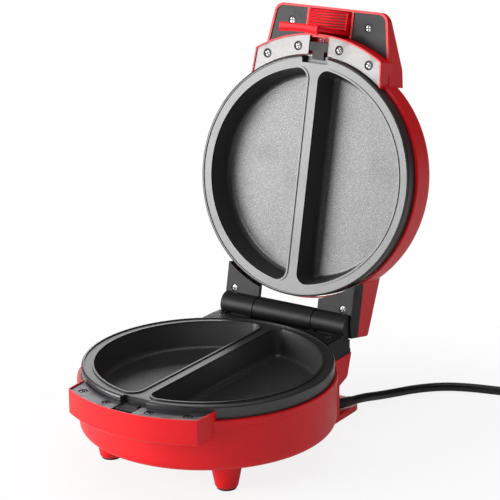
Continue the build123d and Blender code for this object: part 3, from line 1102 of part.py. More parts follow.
def make_plug_blades():
    face = PLUG_TAIL_START + PLUG_TAIL + PLUG_L
    blades = []
    for side in (-1, 1):
        blade = Pos(face + BLADE_L / 2, side * BLADE_PITCH / 2, 0) * Box(BLADE_L, BLADE_T, BLADE_W)
        hole = Pos(face + BLADE_L - 5.0, side * BLADE_PITCH / 2, 0) * Rot(90, 0, 0) * Cylinder(1.6, 10)
        blades.append(on_plug(blade - hole))
    return group(blades)


# ---------------------------------------------------------------- export


def main():
    plate = make_plate()
    shared = {
        "plate": Pos(0, 0, RIM_Z) * plate, "heater": make_heater(), "reflector": make_reflector(),
        "reflector_screws": make_reflector_screws(), "lug_plates": make_cover_plates(),
        "lug_screws": make_lug_screws(), "release_button": make_button(), "button_spring": make_button_spring()}
    nodes = {"base_" + name: part for name, part in shared.items()}
    nodes.update({"lid_" + name: group([to_lid(solid) for solid in part.solids()]) for name, part in shared.items()})
    nodes.update({
        "base_housing": make_base_housing(), "rear_hinge_cover": make_rear_cover(),
        "rear_cover_screws": make_rear_cover_screws(), "hinge_pin": make_hinge_pin(),
        "foot_pads": make_foot_pads(), "heel_pads": make_heel_pads(),
        "service_cover": make_service_cover(), "service_screws": make_service_screws(),
        "thermostat": make_thermostat(), "thermal_fuse": make_thermal_fuse(),
        "terminal_block": make_terminal_block(), "cord_clamp": make_cord_clamp(),
        "cord_clamp_screws": make_clamp_screws(), "strain_relief": make_strain_relief(),
        "base_wiring": make_base_wiring(), "power_cord": make_power_cord(), "cord_coil": make_cord_coil(),
        "plug_body": make_plug_body(), "plug_blades": make_plug_blades(),
        "lid_housing": make_lid_housing(), "hinge_arms": make_hinge_arms(),
        "hinge_arm_screws": make_hinge_arm_screws(), "handle_covers": make_handle_covers(),
        "handle_screws": make_handle_screws(), "latch": make_latch(), "latch_pin": make_latch_pin(),
        "lamp_lenses": make_lamp_lenses(), "indicator_lamps": make_indicator_lamps(),
        "lid_wiring": make_lid_wiring()})
    os.makedirs("parts", exist_ok=True)
    for name, part in nodes.items():
        box = part.bounding_box()
        print("%-24s %s solids %d  %9.1f mm3  z %.2f to %.2f" % (
            name, part.is_valid, len(part.solids()), part.volume, box.min.Z, box.max.Z))
        export_step(part, "parts/" + name + ".step")


if __name__ == "__main__":
    main()
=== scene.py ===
"""Finishes, screws, thumb ribs, mains lead and studio of the omelette maker.

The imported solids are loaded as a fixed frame. Every piece made here sits in that frame, in metres,
and rides on one of its bodies.
"""

from __future__ import annotations

import json
import logging
import math
from collections.abc import Sequence
from dataclasses import dataclass, replace
from enum import Enum
from typing import Any

import bpy
from mathutils import Euler, Matrix, Vector


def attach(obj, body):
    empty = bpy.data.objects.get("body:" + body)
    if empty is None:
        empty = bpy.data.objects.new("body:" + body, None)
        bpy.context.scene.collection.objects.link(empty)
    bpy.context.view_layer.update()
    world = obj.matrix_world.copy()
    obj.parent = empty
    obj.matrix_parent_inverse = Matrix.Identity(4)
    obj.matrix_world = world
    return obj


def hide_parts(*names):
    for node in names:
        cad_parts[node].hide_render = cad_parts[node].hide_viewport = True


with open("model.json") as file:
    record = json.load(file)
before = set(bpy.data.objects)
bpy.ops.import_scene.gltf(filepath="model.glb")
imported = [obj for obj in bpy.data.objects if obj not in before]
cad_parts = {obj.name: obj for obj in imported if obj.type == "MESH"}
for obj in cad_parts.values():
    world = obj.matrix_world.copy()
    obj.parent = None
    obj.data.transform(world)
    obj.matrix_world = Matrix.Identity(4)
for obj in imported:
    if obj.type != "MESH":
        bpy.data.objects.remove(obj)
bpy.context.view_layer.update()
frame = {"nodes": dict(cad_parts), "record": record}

LOG = logging.getLogger("omelette_maker")
MM = 0.001

Colour = tuple[float, float, float]
Place = tuple[float, float, float]
Spots = tuple[tuple[float, float], ...]


class Body(Enum):
    """The bodies that pieces ride on."""

    BASE = "base"
    LID = "lid"
    LATCH = "latch"


def paint(red: int, green: int, blue: int) -> Colour:
    """The linear colour, as shaders take it, of one that a screen shows with 0 to 255."""
    return tuple(
        part / 12.92 if part <= 0.04045 else ((part + 0.055) / 1.055) ** 2.4
        for part in (red / 255, green / 255, blue / 255)
    )


# ---- the lid's place


@dataclass(frozen=True)
class Hinge:
    """Where the lid turns and how far it stands open.

    Attributes:
        y: Hinge axis, in mm.
        z: Its height.
        opened: Degrees from shut.
    """

    y: float = 104.5
    z: float = 70.1
    opened: float = 102.0

    def place(self, x: float, y: float, z: float) -> Place:
        """A point of the shut lid, in mm, as the open lid has it, in metres."""
        turned = Vector(self.facing((x, y - self.y, z - self.z)))
        return tuple(part * MM for part in (turned + Vector((0.0, self.y, self.z))))

    def facing(self, direction: Place) -> Place:
        """Turns a direction of the shut lid as the open lid has it."""
        return tuple(Matrix.Rotation(-math.radians(self.opened), 4, "X") @ Vector(direction))


HINGE = Hinge()


@dataclass(frozen=True)
class SlopedFace:
    """The latch's ribbed face, on the shut lid.

    Attributes:
        y: A line on it, in mm.
        z: Its height there.
        slope: How much it rises for each mm towards the front.
    """

    y: float = -123.0
    z: float = 82.4
    slope: float = 0.0714

    def height(self, y: Any) -> Any:
        """Its height, in mm, at that Y."""
        return (self.y - y) * self.slope + self.z


THUMB_FACE = SlopedFace()


# ---- node trees


class Amount:
    """A number in a shader, worked with as Python numbers are."""

    def __init__(self, tree: Tree, socket: bpy.types.NodeSocket) -> None:
        """Wraps a socket of that tree."""
        self.tree = tree
        self.socket = socket

    def _math(self, operation: str, *parts: Any) -> Amount:
        """Adds a Math node that works on the parts."""
        made = self.tree.node("ShaderNodeMath", dict(enumerate(parts)), operation=operation)
        return Amount(self.tree, made.outputs[0])

    def __add__(self, other: Any) -> Amount:
        """This plus the other."""
        return self._math("ADD", self, other)

    def __sub__(self, other: Any) -> Amount:
        """This less the other."""
        return self._math("SUBTRACT", self, other)

    def __rsub__(self, other: Any) -> Amount:
        """The other less this."""
        return self._math("SUBTRACT", other, self)

    def __mul__(self, other: Any) -> Amount:
        """This times the other."""
        return self._math("MULTIPLY", self, other)

    def __truediv__(self, other: Any) -> Amount:
        """This over the other."""
        return self._math("DIVIDE", self, other)

    def __pow__(self, power: float) -> Amount:
        """This to a power."""
        return self._math("POWER", self, power)

    __radd__ = __add__
    __rmul__ = __mul__

    def above(self, edge: float, soft: float) -> Amount:
        """Goes smoothly from 0 to 1 as this passes an edge.

        Args:
            edge: Where the step's middle is.
            soft: Half the width of the step.

        Returns:
            The step.
        """
        feeds = {0: self, 1: edge - soft, 2: edge + soft}
        made = self.tree.node("ShaderNodeMapRange", feeds, interpolation_type="SMOOTHSTEP")
        return Amount(self.tree, made.outputs[0])

    def most(self, other: Any) -> Amount:
        """The larger of this and the other."""
        return self._math("MAXIMUM", self, other)

    def least(self, other: Any) -> Amount:
        """The smaller of this and the other."""
        return self._math("MINIMUM", self, other)

    def __abs__(self) -> Amount:
        """This without its sign."""
        return self._math("ABSOLUTE", self)


class Tree:
    """A node tree that one method fills."""

    def __init__(self, tree: bpy.types.NodeTree) -> None:
        """Empties the tree and keeps it."""
        self.tree = tree
        self.tree.nodes.clear()

    def link(self, source: Any, target: bpy.types.NodeSocket) -> None:
        """Sets or links a socket.

        Args:
            source: A plain value, an Amount or a socket.
            target: The socket that takes it.
        """
        source = source.socket if isinstance(source, Amount) else source
        if isinstance(source, bpy.types.NodeSocket):
            self.tree.links.new(source, target)
        else:
            target.default_value = source

    def node(self, kind: str, feeds: dict[Any, Any] | None = None, **settings: Any) -> bpy.types.Node:
        """Adds a node.

        Args:
            kind: The node's type.
            feeds: Value or link for each input, by its name or number.
            **settings: The node's own settings, which are set first.

        Returns:
            The node.
        """
        made = self.tree.nodes.new(kind)
        for name, value in settings.items():
            setattr(made, name, value)
        for name, value in (feeds or {}).items():
            self.link(value, made.inputs[name])
        return made


class Shade(Tree):
    """The nodes of one material, with the patterns that its finish draws on."""

    def __init__(self, name: str) -> None:
        """Makes the material and reads the piece's own coordinates.

        Args:
            name: The material's name.
        """
        self.material = bpy.data.materials.new(name)
        self.material.use_nodes = True
        super().__init__(self.material.node_tree)
        self.where = self.node("ShaderNodeTexCoord").outputs["Object"]

    def stretched(self, factors: tuple[float, float, float]) -> bpy.types.NodeSocket:
        """Coordinates that are multiplied by a factor along X, Y and Z."""
        return self.node("ShaderNodeMapping", {"Vector": self.where, "Scale": factors}).outputs[0]

    def noise(self, per_metre: float, detail: float = 3.0, where: Any = None) -> Amount:
        """Cloudy noise from 0 to 1, on the piece's own coordinates or on others."""
        feeds = {"Vector": where or self.where, "Scale": per_metre, "Detail": detail, "Roughness": 0.55}
        return Amount(self, self.node("ShaderNodeTexNoise", feeds).outputs[0])

    def cells(self, per_metre: float, where: Any = None) -> Amount:
        """Distance from the middle of the nearest random cell."""
        feeds = {"Vector": where or self.where, "Scale": per_metre}
        return Amount(self, self.node("ShaderNodeTexVoronoi", feeds).outputs["Distance"])

    def axis(self, which: str) -> Amount:
        """The piece's own X, Y or Z, in metres."""
        return Amount(self, self.node("ShaderNodeSeparateXYZ", {0: self.where}).outputs[which])

    def laid(self, lid: bool) -> tuple[Amount, Amount, Amount]:
        """The place on the shut object, in mm.

        Args:
            lid: Whether the piece is on the lid, which stands open.

        Returns:
            X without its sign, Y and Z.
        """
        x, y, z = (self.axis(which) * (1.0 / MM) for which in "XYZ")
        if lid:
            turn = math.radians(HINGE.opened)
            back, up = y - HINGE.y, z - HINGE.z
            y = back * math.cos(turn) - up * math.sin(turn) + HINGE.y
            z = back * math.sin(turn) + up * math.cos(turn) + HINGE.z
        return abs(x), y, z

    def blend(self, share: Any, first: Any, second: Any) -> bpy.types.NodeSocket:
        """Mixes two colours.

        Args:
            share: How much of the second shows.
            first: Linear colour or socket.
            second: Linear colour or socket.

        Returns:
            The mixed colour's socket.
        """
        first, second = ((*part, 1.0) if isinstance(part, tuple) else part for part in (first, second))
        mixed = self.node("ShaderNodeMix", {0: share, 6: first, 7: second}, data_type="RGBA")
        return mixed.outputs[2]

    def relief(self, height: Any, depth: float, strength: float) -> bpy.types.NodeSocket:
        """The normal of a relief from 0 to 1, where 1 stands for a depth in metres."""
        bump = self.node("ShaderNodeBump", {"Height": height, "Distance": depth, "Strength": strength})
        return bump.outputs[0]

    def close(self, **sockets: Any) -> bpy.types.Material:
        """Ends the tree in one plain surface shader.

        Args:
            **sockets: The shader's inputs, with _ for a space in their names.

        Returns:
            The finished material.
        """
        feeds = {
            name.replace("_", " "): (*value, 1.0) if isinstance(value, tuple) else value
            for name, value in sockets.items()
        }
        surface = self.node("ShaderNodeBsdfPrincipled", feeds)
        self.node("ShaderNodeOutputMaterial", {"Surface": surface.outputs[0]})
        return self.material


# ---- finishes


def from_nearest(x: Amount, y: Amount, spots: Spots) -> Amount:
    """Distance to the nearest of some spots, and of their twins across X.

    Args:
        x: X without its sign, in mm.
        y: Y, in mm.
        spots: The spots of the right side, in mm.

    Returns:
        The distance, in mm.
    """
    nearest = None
    for along, back in spots:
        far = ((x - along) ** 2 + (y - back) ** 2) ** 0.5
        nearest = far if nearest is None else nearest.least(far)
    return nearest


@dataclass(frozen=True)
class Moulding:
    """Moulded plastic or rubber: a faint drift of tone, flow marks, a fine skin and dull rubbed spots.

    Attributes:
        name: The material's name.
        tone: Its colour.
        drift: The colour that it drifts to.
        rough: Roughness where it is clean and where it is rubbed.
        grain: Grains of its skin in a metre.
        depth: Depth of the skin's grain, in metres.
        strength: How much of the grain shows.
        coat: Share of a clear gloss over it.
        shine: Specular level of the plastic.
        wells: Centres of its screw wells, which get painted shade, black, inside, in mm.
        lid: Whether it is on the lid.
        clouds: Clouds of its drift in a metre.
        drifted: Noise where the drift sets in, and half how far.
        rubs: Rubbed spots in a metre.
        rubbed: Noise where a rubbed spot begins, and half its edge.
        flow: Flow marks in a metre.
    """

    name: str
    tone: Colour
    drift: Colour
    rough: tuple[float, float] = (0.28, 0.40)
    grain: float = 900.0
    depth: float = 0.00002
    strength: float = 0.15
    coat: float = 0.0
    shine: float = 0.5
    wells: Spots = ()
    lid: bool = False
    clouds: float = 22.0
    drifted: tuple[float, float] = (0.5, 0.22)
    rubs: float = 75.0
    rubbed: tuple[float, float] = (0.62, 0.10)
    flow: float = 60.0

    def tones(self, shade: Shade, cloud: Amount) -> bpy.types.NodeSocket:
        """Its colour: the drift, and painted shade, black, in the screw wells.

        Args:
            shade: The material's nodes.
            cloud: The noise that the colour drifts by.

        Returns:
            The colour.
        """
        tone = shade.blend(cloud.above(*self.drifted), self.tone, self.drift)
        if self.wells:
            # Painted shade: the screw wells are coloured black as the shade down in them.
            x, y, _ = shade.laid(self.lid)
            outside = from_nearest(x, y, self.wells).above(WELL_SHADE_R, WELL_SHADE_EDGE)
            tone = shade.blend(outside, PAINTED_SHADE_BLACK, tone)
        return tone

    def make(self) -> bpy.types.Material:
        """Builds the material.

        Returns:
            The material.
        """
        shade = Shade(self.name)
        cloud = shade.noise(self.clouds, 4.0)
        rubbed = shade.noise(self.rubs, 6.0).above(*self.rubbed)
        skin = shade.noise(self.grain, 2.0)
        flow = shade.noise(self.flow, 2.0)
        low, high = self.rough
        return shade.close(
            Base_Color=self.tones(shade, cloud),
            Roughness=rubbed * (high - low) + skin * 0.03 + low,
            Normal=shade.relief(skin + flow * 1.5, self.depth, self.strength),
            Coat_Weight=self.coat,
            Coat_Roughness=0.06,
            Specular_IOR_Level=self.shine,
        )


@dataclass(frozen=True)
class Ribbed(Moulding):
    """Moulded plastic with painted shade in the grooves between its ribs.

    Attributes:
        front: Where the grooves begin, in mm on the shut lid.
        half: Half their length.
        depths: How far in from the ribbed face the painted shade in the grooves begins and ends.
        groove: The painted shade colour down in the grooves.
    """

    front: float = -123.3
    half: float = 15.66
    depths: tuple[float, float] = (0.30, 1.3)
    groove: Colour = (0.10, 0.002, 0.004)

    def tones(self, shade: Shade, cloud: Amount) -> bpy.types.NodeSocket:
        """Its colour, with painted shade in the grooves.

        Args:
            shade: The material's nodes.
            cloud: The noise that the colour drifts by.

        Returns:
            The colour.
        """
        x, y, z = shade.laid(True)
        # Painted shade: dark red down in the grooves between the ribs.
        down = z - THUMB_FACE.height(y)
        inside = down.above(self.depths[0], 0.12) * (1.0 - down.above(self.depths[1], 0.1))
        inside = inside * y.above(self.front, 0.1) * (1.0 - x.above(self.half, 0.03))
        return shade.blend(inside, super().tones(shade, cloud), self.groove)


@dataclass(frozen=True)
class Nonstick:
    """Baked non-stick coating: smooth on rim and divider, blasted and sparkling on the floors, with painted shade on
    walls, skirt and bead flanks.

    Attributes:
        name: The material's name.
        smooth: Tone of the rim and divider.
        wall: Tone of the walls and the skirt.
        blasted: Tone of the pocket floors.
        fleck: Its metal flecks.
        rim_z: Height of the rim plane on the shut object, in mm.
        lid: Whether it is the upper plate.
        metallic: How much of it reflects as metal does, smooth and blasted.
        rough: Roughness, smooth and blasted.
        edge: Depth where the walls begin, in mm.
        floor: Depth where the floors begin.
        flank: Depths between which the beads' flanks lie, which get the same painted shade as the walls.
        peel: Grains of its skin in a metre.
        stains: Stains in a metre.
        flecks: Metal flecks in a metre.
        flecked: Share of the flecks on smooth and on blasted places.
        painted: How much less the walls reflect as metal, as painted shade.
    """

    name: str
    smooth: Colour
    wall: Colour
    blasted: Colour
    fleck: Colour
    rim_z: float
    lid: bool
    metallic: tuple[float, float] = (0.80, 0.86)
    rough: tuple[float, float] = (0.30, 0.40)
    edge: float = 1.5
    floor: float = 18.7
    flank: tuple[float, float] = (0.12, 0.66)
    peel: float = 1500.0
    stains: float = 38.0
    flecks: float = 1350.0
    flecked: tuple[float, float] = (0.05, 0.35)
    painted: float = 0.75

    def make(self) -> bpy.types.Material:
        """Builds the material.

        Returns:
            The material.
        """
        shade = Shade(self.name)
        height = shade.laid(self.lid)[2]
        depth = height - self.rim_z if self.lid else self.rim_z - height
        floor = depth.above(self.floor, 0.8)
        # Painted shade: the walls, the skirt and the beads' flanks get a darker tone and less metal.
        flank = depth.above(self.flank[0], 0.06) * (1.0 - depth.above(self.flank[1], 0.06))
        wall = depth.above(self.edge, 0.5).most(flank)
        peel = shade.noise(self.peel, 2.0)
        flecks = 1.0 - shade.cells(self.flecks).above(0.30, 0.16)
        stain = shade.noise(self.stains, 5.0).above(0.60, 0.16)
        tone = shade.blend(floor, shade.blend(wall, self.smooth, self.wall), self.blasted)
        few, many = self.flecked
        smooth, blasted = self.metallic
        low, high = self.rough
        # Painted shade takes metal from the walls, skirt and flanks, but not from the floors.
        unshaded_metal = 1.0 - wall * (1.0 - floor) * self.painted
        return shade.close(
            Base_Color=shade.blend(flecks * (floor * (many - few) + few), tone, self.fleck),
            Metallic=(floor * (blasted - smooth) + smooth) * unshaded_metal,
            Roughness=floor * (high - low) + stain * 0.04 + peel * 0.05 + low,
            Normal=shade.relief(peel, 0.00004, 0.25),
        )


@dataclass(frozen=True)
class Steel:
    """Bare or plated metal: drawn or brushed streaks, dull patches and a little tarnish.

    Attributes:
        name: The material's name.
        tone: The clean metal.
        tarnish: The colour of its dull patches.
        rough: Lowest and highest roughness.
        streak: Factors along X, Y and Z; the streaks run along the small one.
        lines: Streaks in a metre, across them.
        patches: Dull patches in a metre.
        wells: Centres of its screw wells, which get painted shade, black, inside, in mm.
        lid: Whether it is on the lid.
    """

    name: str
    tone: Colour
    tarnish: Colour
    rough: tuple[float, float] = (0.22, 0.42)
    streak: tuple[float, float, float] = (0.06, 1.0, 1.0)
    lines: float = 1600.0
    patches: float = 90.0
    wells: Spots = ()
    lid: bool = False

    def painted_shade(self, shade: Shade) -> Amount | None:
        """How much of the metal gets painted shade, black, down in a screw well.

        Args:
            shade: The material's nodes.

        Returns:
            The share, or nothing where the metal has no hollow.
        """
        if not self.wells:
            return None
        x, y, _ = shade.laid(self.lid)
        return 1.0 - from_nearest(x, y, self.wells).above(WELL_SHADE_R, WELL_SHADE_EDGE)

    def make(self) -> bpy.types.Material:
        """Builds the material.

        Returns:
            The material.
        """
        shade = Shade(self.name)
        lines = shade.noise(self.lines, 4.0, shade.stretched(self.streak))
        dull = shade.noise(self.patches, 5.0).above(0.58, 0.14)
        low, high = self.rough
        tone = shade.blend(dull * 0.7 + lines * 0.2, self.tone, self.tarnish)
        metallic = 1.0
        # Painted shade: black, and not metal, in the screw wells and screw slots.
        dark = self.painted_shade(shade)
        if dark is not None:
            tone = shade.blend(dark, tone, PAINTED_SHADE_BLACK)
            metallic = 1.0 - dark
        return shade.close(
            Base_Color=tone,
            Metallic=metallic,
            Roughness=dull * (high - low) + lines * 0.10 + low,
            Normal=shade.relief(lines, 0.000015, 0.25),
        )


@dataclass(frozen=True)
class ScrewSteel(Steel):
    """Zinc-plated screw heads with painted shade in their cross slots.

    Attributes:
        seat: Height of the heads' seat on the shut object, in mm.
        upwards: 1 where the heads look up there, -1 where they look down.
        head_r: Head radius.
        head_h: Head height.
        slot: Where the slots end, and the height below which they get painted shade, as shares of that radius and
            height.
    """

    seat: float = 0.0
    upwards: float = 1.0
    head_r: float = 2.6
    head_h: float = 0.9
    slot: tuple[float, float] = (0.80, 0.62)

    def painted_shade(self, shade: Shade) -> Amount | None:
        """How much gets painted shade: down in a cross slot or below the head.

        Args:
            shade: The material's nodes.

        Returns:
            The share.
        """
        # Painted shade: dark in the cross slots and under the head.
        x, y, z = shade.laid(self.lid)
        risen = (z - self.seat) * self.upwards
        middle = 1.0 - from_nearest(x, y, self.wells).above(self.head_r * self.slot[0], 0.04)
        return (1.0 - risen.above(self.head_h * self.slot[1], 0.03)) * middle


@dataclass(frozen=True)
class LampWindows:
    """The two tinted lamp windows: red over the power lamp, green over the ready lamp.

    Attributes:
        name: The material's name.
        red: The window on the left.
        green: The window on the right.
        split: Where they part along X, in metres.
    """

    name: str
    red: Colour
    green: Colour
    split: float

    def make(self) -> bpy.types.Material:
        """Builds the material.

        Returns:
            The material.
        """
        shade = Shade(self.name)
        side = shade.axis("X").above(self.split, 0.0005)
        dots = shade.cells(1400.0)
        return shade.close(
            Base_Color=shade.blend(side, self.red, self.green),
            Roughness=dots * 0.10 + 0.10,
            Normal=shade.relief(dots, 0.00008, 0.35),
            Transmission_Weight=0.55,
            IOR=1.49,
        )


RED, RED_DRIFT = paint(214, 10, 22), paint(206, 9, 19)
LATCH_RED, LATCH_RED_DRIFT = paint(240, 22, 38), paint(232, 19, 34)
BLACK, SOFT_BLACK = paint(22, 22, 23), paint(17, 17, 18)
DARK, SOFT_DARK = paint(44, 44, 45), paint(38, 38, 40)
ZINC, ZINC_TARNISH = paint(176, 176, 175), paint(150, 148, 144)
# Painted shade: black in the screw wells and screw slots, with the wells' shaded radius and soft edge, in mm.
PAINTED_SHADE_BLACK = paint(9, 9, 10)
WELL_SHADE_R, WELL_SHADE_EDGE = 3.6, 0.12
LUG_SPOTS = ((17.8, -95.8), (43.9, -87.6))
HANDLE_SPOTS = ((33.0, -114.0),)
ARM_SPOTS = ((48.0, 92.4),)
REAR_SPOTS = ((47.0, 86.5),)
HEEL_SPOTS = ((50.4, 68.1), (50.4, 81.4))

BLACK_PLASTIC = Moulding("satin_black_plastic", BLACK, SOFT_BLACK, (0.42, 0.54), 1400.0, strength=0.3, shine=0.2)
DARK_PLASTIC = Moulding("dark_cover_plastic", DARK, SOFT_DARK, (0.42, 0.54), 1500.0, shine=0.2)
LOWER_COATING = Nonstick(
    "lower_coating",
    smooth=paint(73, 73, 73),
    wall=paint(58, 58, 59),
    blasted=paint(80, 80, 80),
    fleck=paint(158, 158, 159),
    rim_z=67.5,
    lid=False,
)


def finish_table() -> dict[str, bpy.types.Material]:
    """Makes every finish once.

    Returns:
        The materials, by the record's slot names.
    """
    finishes = {
        "red_plastic": Moulding(
            "satin_red_plastic", RED, RED_DRIFT, (0.38, 0.44), strength=0.06, coat=0.02, shine=0.30
        ),
        "latch_plastic": Ribbed("latch_red_plastic", LATCH_RED, LATCH_RED_DRIFT, (0.34, 0.44), shine=0.12),
        "plate_coating": LOWER_COATING,
        "cover_grey": Steel(
            "grey_cover_plate", paint(118, 115, 120), paint(104, 102, 108), (0.34, 0.46), wells=LUG_SPOTS
        ),
        "cover_bright": Steel(
            "bright_cover_plate", paint(140, 139, 138), paint(134, 133, 132), (0.54, 0.60), wells=LUG_SPOTS, lid=True
        ),
        "black_plastic": BLACK_PLASTIC,
        "dark_plastic": DARK_PLASTIC,
        "dark_screws": Steel("blackened_screws", paint(88, 88, 92), paint(34, 34, 36), (0.24, 0.40)),
        "screw_steel": Steel("zinc_screws", paint(186, 186, 184), paint(140, 138, 132)),
        "pin_steel": Steel("ground_pin", paint(190, 190, 192), paint(150, 148, 144), (0.16, 0.30)),
        "spring_steel": Steel("spring_wire", paint(168, 168, 170), paint(120, 118, 114), (0.20, 0.34)),
        "pan_steel": Steel("reflector_sheet", paint(196, 196, 198), paint(158, 152, 142), (0.26, 0.46)),
        "heater_steel": Steel("heater_sheath", paint(118, 112, 104), paint(84, 76, 66), (0.34, 0.52)),
        "blade_brass": Steel("plated_blades", paint(206, 190, 150), paint(176, 158, 118), (0.18, 0.32)),
        "rubber": Moulding("black_rubber", paint(30, 30, 31), paint(38, 37, 36), (0.62, 0.78), 1800.0, strength=0.4),
        "cord_rubber": Moulding("lead_jacket", paint(18, 18, 20), paint(24, 24, 26), (0.36, 0.52), 1600.0),
        "wire_cover": Moulding("wire_sleeve", paint(206, 200, 188), paint(188, 178, 160), (0.50, 0.66), 2400.0),
        "block_plastic": Moulding("terminal_nylon", paint(222, 218, 206), paint(206, 200, 184), (0.38, 0.52), 1200.0),
        "lens_plastic": LampWindows("lamp_windows", paint(196, 30, 26), paint(40, 158, 66), 9.0 * MM),
        "lamp_glass": Moulding("lamp_glass", paint(214, 196, 176), paint(196, 172, 146), (0.08, 0.16), 700.0),
    }
    return {slot: finish.make() for slot, finish in finishes.items()}


# ---- pieces made by nodes


def node_group(name: str, **sizes: str) -> Tree:
    """Starts a group that takes points and some named sizes, and gives a shape.

    Args:
        name: The group.
        **sizes: Kind of each input, with _ for a space in their names.

    Returns:
        The group's nodes, still empty.
    """
    group = bpy.data.node_groups.new(name, "GeometryNodeTree")
    for label, kind in {"Geometry": "Geometry", **sizes}.items():
        group.interface.new_socket(label.replace("_", " "), in_out="INPUT", socket_type=f"NodeSocket{kind}")
    group.interface.new_socket("Geometry", in_out="OUTPUT", socket_type="NodeSocketGeometry")
    return Tree(group)


def on_every_point(nodes: Tree, material: bpy.types.Material, **feeds: bpy.types.NodeSocket) -> bpy.types.NodeTree:
    """Ends a group: a shape on every point, made real and dressed.

    Args:
        nodes: The group's nodes.
        material: The finish of the shapes.
        **feeds: The points, the shape and its turn.

    Returns:
        The finished group.
    """
    spread = nodes.node("GeometryNodeInstanceOnPoints", feeds)
    real = nodes.node("GeometryNodeRealizeInstances", {"Geometry": spread.outputs[0]})
    dressed = nodes.node("GeometryNodeSetMaterial", {"Geometry": real.outputs[0], "Material": material})
    nodes.node("NodeGroupOutput", {0: dressed.outputs[0]})
    return nodes.tree


def scattered(name: str, places: Sequence[Place], group: bpy.types.NodeTree, **sizes: Any) -> bpy.types.Object:
    """Makes a piece of points and lets a node group shape it.

    Args:
        name: The piece.
        places: The points, in metres.
        group: Its node group.
        **sizes: The group's inputs, with _ for a space in their names.

    Returns:
        The piece, with its nodes live.
    """
    mesh = bpy.data.meshes.new(name)
    mesh.from_pydata([Vector(place) for place in places], [], [])
    piece = bpy.data.objects.new(name, mesh)
    bpy.context.scene.collection.objects.link(piece)
    nodes = piece.modifiers.new("nodes", "NODES")
    nodes.node_group = group
    for item in group.interface.items_tree:
        label = item.name.replace(" ", "_")
        if item.in_out == "INPUT" and label in sizes:
            nodes[item.identifier] = sizes[label]
    return piece


def plain_mesh(piece: bpy.types.Object, body: Body) -> None:
    """Turns what a piece's nodes make into its own mesh, and lets it ride.

    Args:
        piece: The object with the nodes.
        body: The body that it rides on.
    """
    shaped = piece.evaluated_get(bpy.context.evaluated_depsgraph_get())
    mesh = bpy.data.meshes.new_from_object(shaped)
    piece.modifiers.clear()
    piece.data = mesh
    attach(piece, body.value)
    LOG.info("%s: %d faces on %s", piece.name, len(mesh.polygons), body.value)


